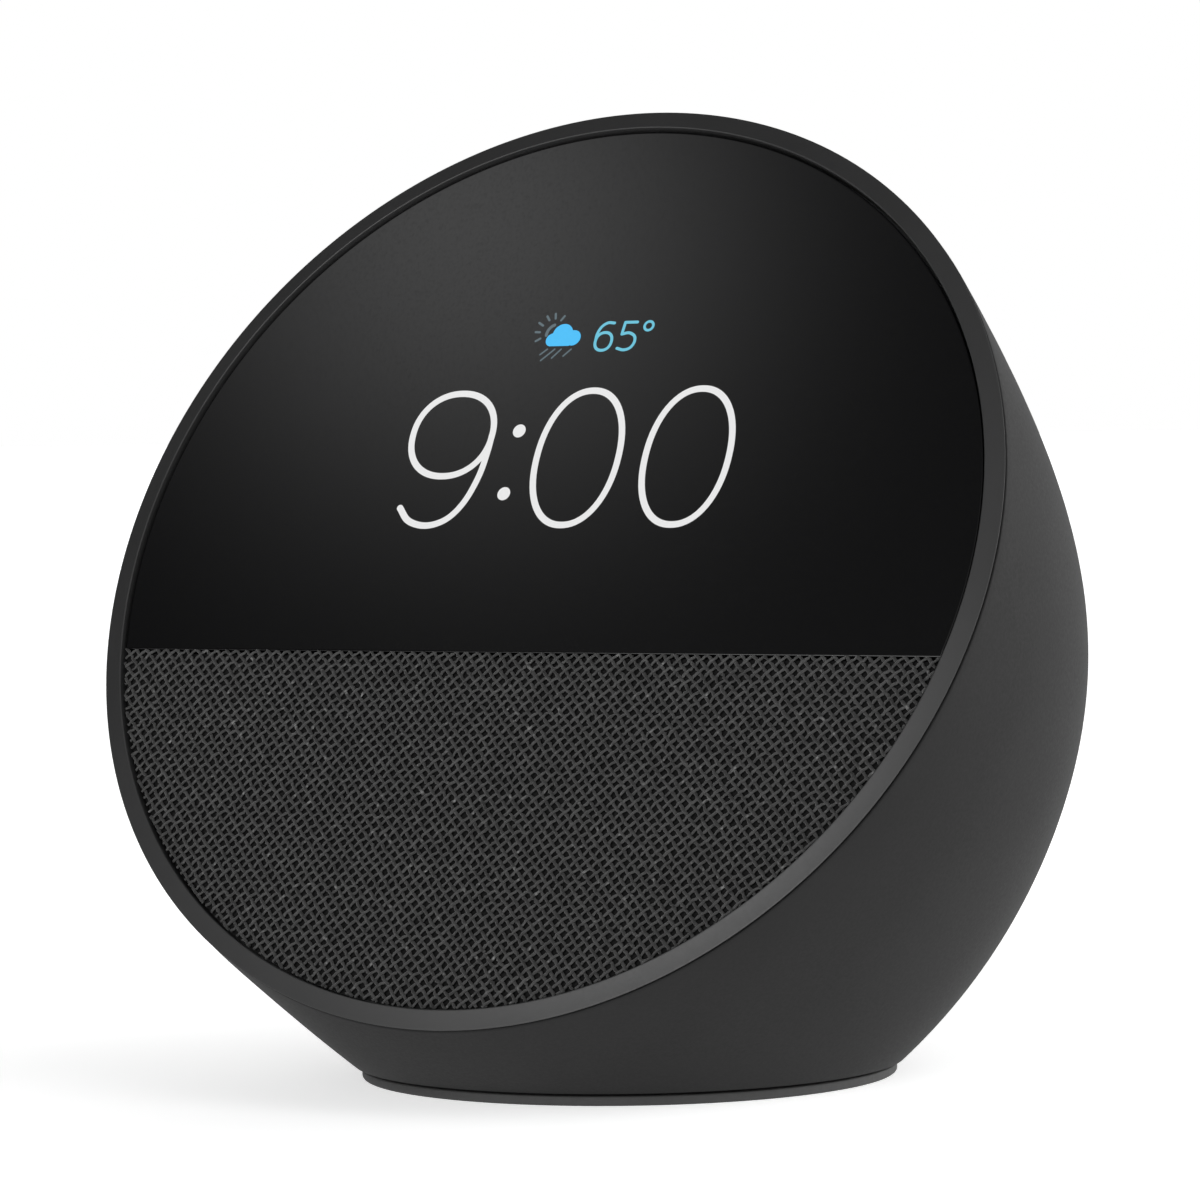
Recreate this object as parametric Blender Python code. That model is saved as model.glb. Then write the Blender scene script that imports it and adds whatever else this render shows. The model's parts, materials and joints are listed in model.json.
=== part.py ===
"""A compact round smart display: a charcoal dome with a tilted round front, half touch glass and half cloth.

Sizes are in millimetres. The part stands on z = 0, faces -Y and is symmetric about X = 0.
"""

import math

import bmesh
import bpy
import numpy as np
from mathutils import Matrix, Vector

MM = 0.001

# ---- driving dimensions ----
RIM_RADIUS = 56.5
FACE_TILT = math.radians(27.0)
FACE_CENTRE = Vector((0, -25.9, 60.0))
BASE_RADIUS = 31.4
BASE_CENTRE_Y = -7.0
SHELL_FOOT_HEIGHT = 1.4
GAP = 0.3

# ---- dome: each meridian is one cubic curve from the rim circle to the base circle ----
# Its directions and handle lengths vary around the dome as a mean and cosine terms, largest at the front.
RIM_STEP = 0.8  # the dome starts this far behind the rim's face
RIM_FLARE = (-1.0, 9.9, -0.5)  # degrees outwards from the face's axis, at the rim
FOOT_SLOPE = (36.8, 1.5, -8.3)  # degrees above the table, at the base
RIM_REACH = (43.3, -46.6, 2.9, 2.4)  # handle length at the rim
FOOT_REACH = (22.9, -11.9, -0.1, -2.5)  # handle length at the base
WALL = 2.2
WALL_AT_RIM = 0.75
RIM_REBATE = (4.5, 7.0)  # the wall grows from thin to full between these distances from its edge
REBATE_SHARE = (0.45, 0.7)  # or these shares of a short meridian
SHELL_SIDES = 48
SHELL_STATIONS = 12

# ---- front ----
GLASS_RADIUS = 53.9
RIM_BORE = 54.25
RIM_EDGE = 0.45
SKIRT_RADIUS = 54.85
LEDGE_RADIUS = 52.2
LEDGE = (-2.2, -3.2)
DIVIDE = -12.1  # the line between glass and cloth, below the face's centre
GLASS = (-0.3, -1.9)  # front and back, measured out of the face
CLOTH = (-0.35, -0.9)
GRILLE = (-1.2, -1.9)
GRILLE_ROWS = 7
GRILLE_PITCH = 4.6
GRILLE_SLOT = 2.4
CHASSIS = (-3.5, -5.5)
CHASSIS_RADIUS = 54.0
DISPLAY_SIZE = (64.5, 49.0)
DISPLAY_CENTRE = 14.3
PANEL = (-3.6, -2.2)
BACKLIGHT = (-5.6, -3.9)
TRAY = (-6.4, -3.5)
TRAY_FLOOR = 0.5
DISPLAY_FLEX = [(-6.6, -6.7), (-6.6, -7.6), (-6.0, -8.8), (-4.6, -9.9), (-2.6, -10.6), (-0.5, -11.0)]
DISPLAY_FLEX_WIDTH = 16.0
LIGHT_SENSOR = (3.0, 46.5)  # size, and height in the face

# ---- speaker ----
SPEAKER_CENTRE = -33.0
SPEAKER_RADIUS = 19.6
SPEAKER_HOLE = 17.6
GASKET = (-6.6, -5.8)
BASKET = [
    (17.4, -6.9), (19.6, -6.9), (19.6, -7.9), (18.2, -7.9), (14.6, -15.2), (14.6, -16.2),
    (8.0, -16.2), (8.0, -15.3), (13.2, -15.3), (13.2, -13.6), (17.4, -8.2),
]
SURROUND = (16.0, -8.1, 1.0, 0.7)  # circle, depth, outer and inner radius of the roll
CONE = [(6.9, -12.6), (9.2, -10.6), (12.0, -9.0), (14.6, -8.2)]
PAPER = 0.4
SPIDER = (7.0, 1.1, 6, -14.2, 0.15, 0.25)  # bore, pitch, points, depth, wave and cloth
COIL = (5.7, 6.5, -19.0, -12.2)  # bore, radius, back and front
TOP_PLATE = (7.0, 11.2, -18.3, -16.5)
MAGNET = (8.0, 11.8, -23.6, -18.6)
YOKE = [(0, -25.9), (11.0, -25.9), (11.0, -23.9), (5.3, -23.9), (5.3, -16.5), (0, -16.5)]
ENCLOSURE = (21.3, -5.8, -29.0)
ENCLOSURE_WALL = 1.4
SPEAKER_LEAD = [(-12.4, -20.0), (-9.6, -19.8), (-6.0, -18.4), (-3.6, -16.4), (-3.2, -13.8)]

# ---- electronics ----
BOARD_SIZE = (79.0, 36.0)
BOARD_CENTRE = 12.0
BOARD = (-11.5, -13.1)
BOARD_POSTS = [(x, y) for x in (-36.2, 36.2) for y in (-3.0, 26.0)]
SHIELD_CENTRE = (-6.0, 14.0)
SHIELD_SIZE = (28.0, 24.0)
SHIELD_HEIGHT = 2.6
SHIELD_WALL = 0.4
FIN_PITCH = 5.2
FIN_HEIGHT = 3.3
SINK_BASE = 1.2
ANTENNA = (24.0, 5.0, 46.6)  # width, depth and height in the face

# ---- fasteners ----
SCREW_RADIUS = 1.0
HOLE_RADIUS = 1.3
BASE_SCREW = (2.1, 0.9, 3.7)  # head radius, head height and length
CHASSIS_SCREW = (1.8, 0.9, 6.5)
BOARD_SCREW = (2.1, 1.3, 5.5)
INLET_SCREW = (2.0, 1.3, 5.5)
BOSS = (2.8, 6.2)  # radius and length
BOSS_RIB = 2.0
CHASSIS_SCREW_ANGLES = [math.radians(a) for a in (60, 115, 245, 300)]
CHASSIS_SCREW_CIRCLE = 50.0
BASE_SCREW_CIRCLE = 24.3
BASE_SCREW_ANGLES = [math.radians(a) for a in (40, 140, 220, 320)]

# ---- bottom ----
FLANGE = (4.2, 6.2)
FLANGE_BORE = 21.5
PLATE_RADIUS = 27.2
PLATE_TOP = 3.9
FOOT_RADIUS = 30.7
FOOT_HEIGHT = 1.1

# ---- buttons: a row across the top of the dome, behind the rim ----
BUTTON_RADIUS = 4.2
BUTTON_SPREAD = math.radians(14.5)
BUTTON_BACK = 0.062  # place along the meridian's curve
MICROPHONE_SPREAD = math.radians(23.0)
MICROPHONE_HOLE = 0.6
CAP_FLANGE = -WALL - 0.7  # top of the rim that keeps a button in, measured out of the dome
CAP_FLANGE_THICKNESS = 0.8
CAP_PROUD = 0.3
CAP_STEM = 2.0
SWITCH = (4.2, -6.7, -5.9)  # width, bottom and top
PLUNGER_TOP = CAP_FLANGE - CAP_STEM - 0.5
MICROPHONE = (-6.7, -5.7)
FLEX_DEPTH = (7.0, 7.4)  # below the dome
BRACKET_DEPTH = (7.7, 9.2)
BRACKET_SPREAD = math.radians(27.0)
BRACKET_REACH = 0.022

# ---- power inlet, low at the back ----
INLET_HEIGHT = 20.0
INLET_MOUTH_Y = 36.4
INLET_SIZE = (11.0, 12.0, 10.0)
INLET_BORE = 3.3
INLET_BOARD = (13.2, 14.7)
INLET_POSTS = [(-7.0, 20.5), (7.0, 20.5)]
INLET_WELL = 5.6

# colour, roughness, metallic
FINISHES = {
    "charcoal_plastic": ((0.035, 0.035, 0.036), 0.55, 0.0),
    "rim_plastic": ((0.05, 0.05, 0.051), 0.5, 0.0),
    "black_glass": ((0.006, 0.006, 0.007), 0.08, 0.0),
    "dark_cloth": ((0.03, 0.03, 0.03), 0.9, 0.0),
    "foot_rubber": ((0.04, 0.04, 0.04), 0.7, 0.0),
    "black_plastic": ((0.02, 0.02, 0.02), 0.6, 0.0),
    "steel": ((0.55, 0.56, 0.58), 0.35, 1.0),
    "aluminium": ((0.72, 0.73, 0.75), 0.4, 1.0),
    "brass": ((0.78, 0.6, 0.3), 0.3, 1.0),
    "copper": ((0.8, 0.42, 0.25), 0.4, 1.0),
    "ferrite": ((0.06, 0.06, 0.065), 0.6, 0.2),
    "circuit_board": ((0.01, 0.09, 0.05), 0.5, 0.0),
    "flex_circuit": ((0.45, 0.2, 0.05), 0.45, 0.0),
    "display_cell": ((0.02, 0.02, 0.03), 0.15, 0.0),
    "light_guide": ((0.8, 0.8, 0.82), 0.4, 0.0),
    "speaker_paper": ((0.03, 0.03, 0.03), 0.85, 0.0),
    "foam": ((0.015, 0.015, 0.015), 0.95, 0.0),
    "wire_sleeve": ((0.5, 0.02, 0.02), 0.5, 0.0),
}


# ---- objects ----
def clear_scene():
    for obj in list(bpy.data.objects):
        bpy.data.objects.remove(obj)


def material(name, finish):
    colour, roughness, metallic = FINISHES[finish]
    made = bpy.data.materials.new(name)
    made.use_nodes = True
    shader = made.node_tree.nodes["Principled BSDF"]
    shader.inputs["Base Color"].default_value = (*colour, 1)
    shader.inputs["Roughness"].default_value = roughness
    shader.inputs["Metallic"].default_value = metallic
    return made


def link(name, bm, parent, location, rotation):
    bmesh.ops.recalc_face_normals(bm, faces=bm.faces)
    mesh = bpy.data.meshes.new(name)
    bm.to_mesh(mesh)
    bm.free()
    obj = bpy.data.objects.new(name, mesh)
    bpy.context.collection.objects.link(obj)
    obj.parent = parent
    obj.location = Vector(location) * MM
    if rotation is not None:
        obj.rotation_euler = rotation.to_euler()
    return obj


def piece(name, finish, bm, parent=None, location=(0, 0, 0), rotation=None, crease=35):
    """A visible sub-part with its own material."""
    obj = link(name, bm, parent, location, rotation)
    obj.data.materials.append(material(name, finish))
    obj.data.shade_smooth()
    obj.data.set_sharp_from_angle(angle=math.radians(crease))
    return obj


def tool(name, bm, parent=None, location=(0, 0, 0), rotation=None):
    """A hidden shape that a Boolean uses."""
    obj = link(name, bm, parent, location, rotation)
    obj.hide_render = True
    obj.display_type = "WIRE"
    return obj


def combine(obj, other, operation):
    modifier = obj.modifiers.new(other.name, "BOOLEAN")
    modifier.operation = operation
    modifier.solver = "EXACT"
    modifier.object = other


def bevel(obj, width, segments=1, angle=40):
    modifier = obj.modifiers.new("edge", "BEVEL")
    modifier.width = width * MM
    modifier.segments = segments
    modifier.limit_method = "ANGLE"
    modifier.angle_limit = math.radians(angle)


def frame(name, location, rotation, parent=None):
    empty = bpy.data.objects.new(name, None)
    bpy.context.collection.objects.link(empty)
    empty.parent = parent
    empty.location = Vector(location) * MM
    empty.rotation_euler = rotation.to_euler()
    return empty


# ---- solids ----
def lathe(profile, segments):
    """Turns (radius, height) points about Z: solid where they start and end on the axis, otherwise a ring."""
    bm = bmesh.new()
    verts = [bm.verts.new((radius * MM, 0, height * MM)) for radius, height in profile]
    edges = [bm.edges.new(pair) for pair in zip(verts, verts[1:])]
    if profile[0][0] > 0:
        edges.append(bm.edges.new((verts[-1], verts[0])))
    bmesh.ops.spin(
        bm, geom=verts + edges, cent=(0, 0, 0), axis=(0, 0, 1), angle=math.tau, steps=segments, use_merge=True
    )
    bmesh.ops.remove_doubles(bm, verts=bm.verts, dist=1e-7)
    return bm


def cylinder(radius, bottom, top, segments=24):
    return lathe([(0, bottom), (radius, bottom), (radius, top), (0, top)], segments)


def ring(inner, outer, bottom, top, segments=24):
    return lathe([(inner, bottom), (outer, bottom), (outer, top), (inner, top)], segments)


def prism(outline, bottom, top):
    """A flat outline pulled up from one height to another."""
    bm = bmesh.new()
    face = bm.faces.new([bm.verts.new((x * MM, y * MM, bottom * MM)) for x, y in outline])
    grown = bmesh.ops.extrude_face_region(bm, geom=[face], use_keep_orig=True)
    raised = [item for item in grown["geom"] if isinstance(item, bmesh.types.BMVert)]
    bmesh.ops.translate(bm, verts=raised, vec=(0, 0, (top - bottom) * MM))
    return bm


def block(width, depth, bottom, top, centre=(0, 0), corner=0.0, steps=4):
    """An upright box with rounded corners."""
    x, y = width / 2 - corner, depth / 2 - corner
    outline = []
    for turn, (sx, sy) in enumerate(((1, 1), (-1, 1), (-1, -1), (1, -1))):
        for step in range(steps + 1 if corner else 1):
            angle = (turn + step / steps) * math.pi / 2
            outline.append((sx * x + corner * math.cos(angle), sy * y + corner * math.sin(angle)))
    return prism([(px + centre[0], py + centre[1]) for px, py in outline], bottom, top)


def joined(shapes):
    """Several separate shapes in one mesh, for a hidden tool."""
    whole = bmesh.new()
    for bm in shapes:
        part = bpy.data.meshes.new("part")
        bm.to_mesh(part)
        bm.free()
        whole.from_mesh(part)
        bpy.data.meshes.remove(part)
    return whole


def moved(bm, x, y, z=0.0):
    bmesh.ops.translate(bm, verts=bm.verts, vec=(x * MM, y * MM, z * MM))
    return bm


def turned(bm, angle, axis):
    bmesh.ops.rotate(bm, verts=bm.verts, cent=(0, 0, 0), matrix=Matrix.Rotation(angle, 3, axis))
    return bm


def ribbon(path, thickness, width):
    """A flat strip of this width along a path of (y, z) points."""
    sides = ([], [])
    for index, point in enumerate(path):
        ahead = Vector(path[min(index + 1, len(path) - 1)])
        behind = Vector(path[max(index - 1, 0)])
        along = (ahead - behind).normalized()
        across = Vector((-along.y, along.x)) * thickness / 2
        sides[0].append(Vector(point) + across)
        sides[1].append(Vector(point) - across)
    bm = prism(sides[0] + sides[1][::-1], -width / 2, width / 2)
    return turned(turned(bm, math.pi / 2, "X"), math.pi / 2, "Z")


def tube(name, finish, points, radius):
    """A round lead along a smooth curve through its points."""
    curve = bpy.data.curves.new(name, "CURVE")
    curve.dimensions = "3D"
    curve.bevel_depth = radius * MM
    curve.bevel_resolution = 1
    curve.use_fill_caps = True
    route = smooth_route(points, 3)
    spline = curve.splines.new("POLY")
    spline.points.add(len(route) - 1)
    for target, point in zip(spline.points, route):
        target.co = (*(point * MM), 1)
    obj = bpy.data.objects.new(name, curve)
    bpy.context.collection.objects.link(obj)
    curve.materials.append(material(name, finish))
    return obj


def smooth_route(points, steps):
    """Points read from a Catmull-Rom curve through the given ones."""
    ends = [2 * points[0] - points[1], *points, 2 * points[-1] - points[-2]]
    route = []
    for a, b, c, d in zip(ends, ends[1:], ends[2:], ends[3:]):
        for step in range(steps):
            t = step / steps
            bend = (2 * a - 5 * b + 4 * c - d) * t**2 + (3 * b - a - 3 * c + d) * t**3
            route.append(0.5 * (2 * b + (c - a) * t + bend))
    return route + [points[-1]]


# ---- face frame: X right, Y up in the face, Z out of it ----
FACE_TURN = Matrix.Rotation(math.pi / 2 - FACE_TILT, 3, "X")


def face_point(x, y, z):
    """World place of a point given in the face frame."""
    return FACE_CENTRE + FACE_TURN @ Vector((x, y, z))


def d_outline(radius, line, upper, steps=48):
    """The part of a disc above or below a level line."""
    start = math.asin(line / radius)
    stop = math.pi - start if upper else -math.pi - start
    angles = [start + (stop - start) * index / steps for index in range(steps + 1)]
    return [(radius * math.cos(a), radius * math.sin(a)) for a in angles]


# ---- dome surface ----
def harmonics(values, angle):
    return sum(value * math.cos(order * angle) for order, value in enumerate(values))


def dome_handles(angle):
    """Curve points of the meridian at this angle: 0 is the front, half a turn is the back."""
    normal = FACE_TURN @ Vector((0, 0, 1))
    upward = FACE_TURN @ Vector((0, 1, 0))
    radial = Vector((math.sin(angle), 0, 0)) - math.cos(angle) * upward
    level = Vector((math.sin(angle), -math.cos(angle), 0))
    flare = math.radians(harmonics(RIM_FLARE, angle))
    slope = math.radians(harmonics(FOOT_SLOPE, angle))
    start = FACE_CENTRE + RIM_RADIUS * radial - RIM_STEP * normal
    end = Vector((0, BASE_CENTRE_Y, SHELL_FOOT_HEIGHT)) + BASE_RADIUS * level
    leave = radial * math.sin(flare) - normal * math.cos(flare)
    arrive = level * math.cos(slope) + Vector((0, 0, math.sin(slope)))
    leave *= harmonics(RIM_REACH, angle)
    arrive *= harmonics(FOOT_REACH, angle)
    return start, start + leave, end + arrive, end


def dome_point(angle, t):
    a, b, c, d = dome_handles(angle)
    t = float(t)
    s = 1 - t
    return s**3 * a + 3 * s * s * t * b + 3 * s * t * t * c + t**3 * d


def dome_normal(angle, t):
    """Outward normal of the dome."""
    step = 1e-4
    along = dome_point(angle, min(t + step, 1)) - dome_point(angle, max(t - step, 0))
    around = dome_point(angle + step, t) - dome_point(angle - step, t)
    return around.cross(along).normalized() * -1


def under_dome(angle, t, depth):
    """The point this far below the dome's outer surface."""
    return dome_point(angle, t) - depth * dome_normal(angle, t)


def dome_at_depth(angle, depth):
    """Where the meridian passes this far behind the face, as its distance from the face's axis."""
    low, high = 0.0, 0.6
    for _ in range(30):
        middle = (low + high) / 2
        local = FACE_TURN.transposed() @ (dome_point(angle, middle) - FACE_CENTRE)
        if -local.z < depth:
            low = middle
        else:
            high = middle
    return math.hypot(local.x, local.y)


def lengths(line):
    return np.concatenate([[0], np.cumsum([(b - a).length for a, b in zip(line, line[1:])])])


def at_lengths(line, stations):
    """Points of a line of points at these distances from its start."""
    travelled = lengths(line)
    places = np.array([tuple(point) for point in line])
    return [Vector([float(np.interp(s, travelled, places[:, k])) for k in range(3)]) for s in stations]


def outer_meridian(angle):
    """The dome's outer line from its front edge down to its foot."""
    line = [dome_point(angle, t) for t in np.linspace(0, 1, 80)]
    return at_lengths(line, np.linspace(0, lengths(line)[-1], SHELL_STATIONS))


def inner_meridian(angle):
    """The dome's inner line from its front edge down to the bottom flange."""
    samples = np.linspace(0, 1, 120)
    travelled = lengths([dome_point(angle, t) for t in samples])
    walls = np.interp(travelled, RIM_REBATE, (WALL_AT_RIM, WALL))
    line = []
    for t, wall in zip(samples, walls):
        point = under_dome(angle, t, float(wall))
        if point.z < FLANGE[1]:
            share = (line[-1].z - FLANGE[1]) / (line[-1].z - point.z)
            line.append(line[-1].lerp(point, share))
            break
        line.append(point)
    total = lengths(line)[-1]
    thin, full = (min(reach, share * total) for reach, share in zip(RIM_REBATE, REBATE_SHARE))
    return at_lengths(line, [0, thin, *np.linspace(full, total, SHELL_STATIONS - 4)])


def dome_ring(angle):
    """One closed outline through the wall, the front edge first."""
    centre = Vector((0, BASE_CENTRE_Y, 0))
    level = Vector((math.sin(angle), -math.cos(angle), 0))
    recess = PLATE_RADIUS + GAP
    low, high = FLANGE
    steps = ((recess, SHELL_FOOT_HEIGHT), (recess, low), (FLANGE_BORE, low), (FLANGE_BORE, high))
    bottom = [centre + radius * level + Vector((0, 0, height)) for radius, height in steps]
    return outer_meridian(angle) + bottom + inner_meridian(angle)[::-1]


def dome_solid():
    bm = bmesh.new()
    rings = []
    for index in range(SHELL_SIDES):
        outline = dome_ring(math.tau * index / SHELL_SIDES)
        rings.append([bm.verts.new(point * MM) for point in outline])
    for here, ahead in zip(rings, rings[1:] + rings[:1]):
        for index in range(len(here)):
            following = (index + 1) % len(here)
            bm.faces.new((here[index], here[following], ahead[following], ahead[index]))
    return bm


def dome_patch(outline, t_range, steps=4):
    """A curved solid: an (angle, depth) outline under the dome, carried along its meridians."""
    bm = bmesh.new()
    rows = []
    for t in np.linspace(*t_range, steps + 1):
        places = [under_dome(math.pi + angle, t, depth) for angle, depth in outline]
        rows.append([bm.verts.new(place * MM) for place in places])
    bm.faces.new(rows[0])
    bm.faces.new(rows[-1][::-1])
    for here, ahead in zip(rows, rows[1:]):
        for index in range(len(here)):
            following = (index + 1) % len(here)
            bm.faces.new((here[index], ahead[index], ahead[following], here[following]))
    return bm


def dome_frame(name, angle):
    """An empty on the dome's surface in the button row, with Z out of the surface."""
    point = dome_point(math.pi + angle, BUTTON_BACK)
    outward = dome_normal(math.pi + angle, BUTTON_BACK)
    return frame(name, point, outward.to_track_quat("Z", "Y").to_matrix())


# ---- outside ----
def make_rear_shell(face, button_frames, microphone_frames):
    shell = piece("rear_shell", "charcoal_plastic", dome_solid())
    bosses, ribs, holes = [], [], []
    boss_radius, boss_length = BOSS
    front = CHASSIS[1] - GAP
    back = front - boss_length
    for angle, centre in zip(CHASSIS_SCREW_ANGLES, chassis_screw_places()):
        reach = dome_at_depth(angle, -back) - WALL / 3
        middle = (CHASSIS_SCREW_CIRCLE + reach) / 2
        rib = block(reach - CHASSIS_SCREW_CIRCLE, BOSS_RIB, back + 0.4, front - 0.4, (middle, 0))
        ribs.append(turned(rib, angle - math.pi / 2, "Z"))
        bosses.append(moved(cylinder(boss_radius, back, front, 12), *centre))
        holes.append(moved(cylinder(HOLE_RADIUS, back + 1.2, CHASSIS[1] + 1, 8), *centre))
    combine(shell, tool("boss_ribs", joined(ribs), face), "UNION")
    combine(shell, tool("bosses", joined(bosses), face), "UNION")
    posts = [moved(cylinder(2.2, FLANGE[0] + 1, INLET_BOARD[0] - GAP, 12), *place) for place in INLET_POSTS]
    combine(shell, tool("inlet_posts", joined(posts)), "UNION")
    combine(shell, tool("boss_holes", joined(holes), face), "DIFFERENCE")
    upright = [moved(cylinder(HOLE_RADIUS, 8.0, 15.0, 8), *place) for place in INLET_POSTS]
    for x, y in base_screw_places():
        upright.append(moved(cylinder(HOLE_RADIUS, FLANGE[0] - 1, FLANGE[1] + 1, 8), x, y))
    combine(shell, tool("upright_holes", joined(upright)), "DIFFERENCE")
    for index, holder in enumerate(button_frames):
        hole = cylinder(BUTTON_RADIUS + GAP, -WALL - 1, 2, 24)
        combine(shell, tool(f"button_hole_{index}", hole, holder), "DIFFERENCE")
    for index, holder in enumerate(microphone_frames):
        hole = cylinder(MICROPHONE_HOLE, -WALL - 1, 1, 8)
        combine(shell, tool(f"microphone_hole_{index}", hole, holder), "DIFFERENCE")
    well = turned(cylinder(INLET_WELL, -INLET_MOUTH_Y - 20, -INLET_MOUTH_Y + 1, 25), math.pi / 2, "X")
    combine(shell, tool("inlet_well", moved(well, 0, 0, INLET_HEIGHT)), "DIFFERENCE")


def make_front(face):
    round_over = 0.18
    rim = [
        (RIM_BORE, -round_over),
        (RIM_BORE + round_over, 0),
        (RIM_RADIUS - round_over, 0),
        (RIM_RADIUS, -round_over),
        (RIM_RADIUS, -RIM_EDGE),
        (SKIRT_RADIUS, -RIM_EDGE),
        (SKIRT_RADIUS, LEDGE[1]),
        (LEDGE_RADIUS, LEDGE[1]),
        (LEDGE_RADIUS, LEDGE[0]),
        (RIM_BORE, LEDGE[0]),
    ]
    piece("face_rim", "rim_plastic", lathe(rim, 56), face)
    glass = prism(d_outline(GLASS_RADIUS, DIVIDE + 0.2, True), GLASS[1], GLASS[0])
    bevel(piece("cover_glass", "black_glass", glass, face), 0.15)
    below = d_outline(GLASS_RADIUS, DIVIDE - 0.2, False, 36)
    cloth = prism(below, CLOTH[1], CLOTH[0])
    piece("grille_fabric", "dark_cloth", cloth, face)
    grille = piece("grille_frame", "black_plastic", prism(below, GRILLE[1], GRILLE[0]), face)
    slots = []
    web = GRILLE_SLOT / 2
    for row in range(GRILLE_ROWS):
        rise = (row - (GRILLE_ROWS - 1) / 2) * GRILLE_PITCH
        half = math.sqrt((SPEAKER_HOLE - 2 * GAP) ** 2 - rise**2)
        for side in (-1, 1):
            centre = (side * (half + web) / 2, SPEAKER_CENTRE + rise)
            slots.append(block(half - web, GRILLE_SLOT, GRILLE[1] - 1, GRILLE[0] + 1, centre, web - 0.1, 2))
    combine(grille, tool("grille_slots", joined(slots), face), "DIFFERENCE")


def make_chassis(face, speaker):
    plate = cylinder(CHASSIS_RADIUS, CHASSIS[1], CHASSIS[0], 48)
    chassis = piece("front_chassis", "black_plastic", plate, face)
    posts = [moved(cylinder(2.5, BOARD[0] + GAP, CHASSIS[0] - 1, 12), x, y) for x, y in BOARD_POSTS]
    combine(chassis, tool("board_posts", joined(posts), face), "UNION")
    window = block(
        DISPLAY_SIZE[0] + 2.5, DISPLAY_SIZE[1] + 2.5, CHASSIS[1] - 1, CHASSIS[0] + 1, (0, DISPLAY_CENTRE)
    )
    combine(chassis, tool("display_window", window, face), "DIFFERENCE")
    hole = cylinder(SPEAKER_HOLE, CHASSIS[1] - 1, CHASSIS[0] + 1, 32)
    combine(chassis, tool("speaker_hole", hole, speaker), "DIFFERENCE")
    bores = [moved(cylinder(HOLE_RADIUS, BOARD[0] - 1, CHASSIS[1] - 0.5, 8), x, y) for x, y in BOARD_POSTS]
    for x, y in chassis_screw_places():
        bores.append(moved(cylinder(1.5, CHASSIS[1] - 1, CHASSIS[0] + 1, 8), x, y))
    combine(chassis, tool("chassis_holes", joined(bores), face), "DIFFERENCE")


# ---- display ----
def make_display(face):
    width, height = DISPLAY_SIZE
    centre = (0, DISPLAY_CENTRE)
    corner = 2 * GAP
    piece("display_panel", "display_cell", block(width, height, *PANEL, centre, corner, 3), face)
    piece("display_backlight", "light_guide", block(width, height, *BACKLIGHT, centre, corner, 3), face)
    outside = block(width + 6 * GAP, height + 6 * GAP, *TRAY, centre, corner + GAP, 3)
    tray = piece("display_frame", "steel", outside, face)
    inside = block(width + 2 * GAP, height + 2 * GAP, TRAY[0] + TRAY_FLOOR, TRAY[1] + 1, centre, corner, 3)
    combine(tray, tool("display_space", inside, face), "DIFFERENCE")
    slot = block(DISPLAY_FLEX_WIDTH + 2, 1.6, TRAY[0] - 1, TRAY[0] + 1.4, (0, DISPLAY_FLEX[0][0]))
    combine(tray, tool("flex_slot", slot, face), "DIFFERENCE")
    piece("display_flex", "flex_circuit", ribbon(DISPLAY_FLEX, 0.25, DISPLAY_FLEX_WIDTH), face)
    size, rise = LIGHT_SENSOR
    piece("light_sensor", "black_plastic", block(size, size, -3.1, -2.3, (0, rise)), face)


# ---- speaker: everything turned about its own axis ----
def make_speaker(speaker):
    def turned_piece(name, finish, profile, segments=20):
        return piece(name, finish, lathe(profile, segments), speaker)

    piece("speaker_gasket", "foam", ring(SPEAKER_HOLE + GAP, SPEAKER_RADIUS, *GASKET), speaker)
    basket = turned_piece("speaker_basket", "steel", BASKET, 28)
    windows = []
    for side in range(4):
        windows.append(turned(block(7.0, 5.0, -12.8, -9.3, (15.5, 0)), math.pi * (side + 0.5) / 2, "Z"))
    combine(basket, tool("basket_windows", joined(windows), speaker), "DIFFERENCE")
    circle, depth, outer, inner = SURROUND
    arc = [math.pi * step / 5 for step in range(6)]
    crown = [(circle + outer * math.cos(a), depth + outer * math.sin(a)) for a in arc]
    under = [(circle + inner * math.cos(a), depth + inner * math.sin(a)) for a in reversed(arc)]
    turned_piece("speaker_surround", "foot_rubber", crown + under)
    turned_piece("speaker_cone", "speaker_paper", CONE + [(r, z - PAPER) for r, z in reversed(CONE)])
    top = [(6.4 * math.sin(0.36 * step), -12.4 + 3.4 * math.cos(0.36 * step)) for step in range(4)]
    turned_piece("speaker_dust_cap", "speaker_paper", top + [(r, z - PAPER) for r, z in reversed(top)], 16)
    piece("speaker_voice_coil", "copper", ring(*COIL), speaker)
    bore, pitch, count, depth, wave, cloth = SPIDER
    waves = [(bore + pitch * step, depth - wave * (step % 2)) for step in range(count)]
    turned_piece("speaker_spider", "dark_cloth", waves + [(r, z - cloth) for r, z in reversed(waves)])
    piece("speaker_top_plate", "steel", ring(*TOP_PLATE), speaker)
    piece("speaker_magnet", "ferrite", ring(*MAGNET), speaker)
    turned_piece("speaker_yoke", "steel", YOKE)
    make_enclosure(speaker)


def floored(bm, height):
    """Trims a shape in the speaker's frame level at a world height, and closes it."""
    up = FACE_TURN.transposed() @ Vector((0, 0, 1))
    rise = height - face_point(0, SPEAKER_CENTRE, 0).z
    geometry = bm.verts[:] + bm.edges[:] + bm.faces[:]
    cut = bmesh.ops.bisect_plane(bm, geom=geometry, plane_co=up * rise * MM, plane_no=up, clear_inner=True)
    edges = [item for item in cut["geom_cut"] if isinstance(item, bmesh.types.BMEdge)]
    bmesh.ops.contextual_create(bm, geom=edges)
    return bm


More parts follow.
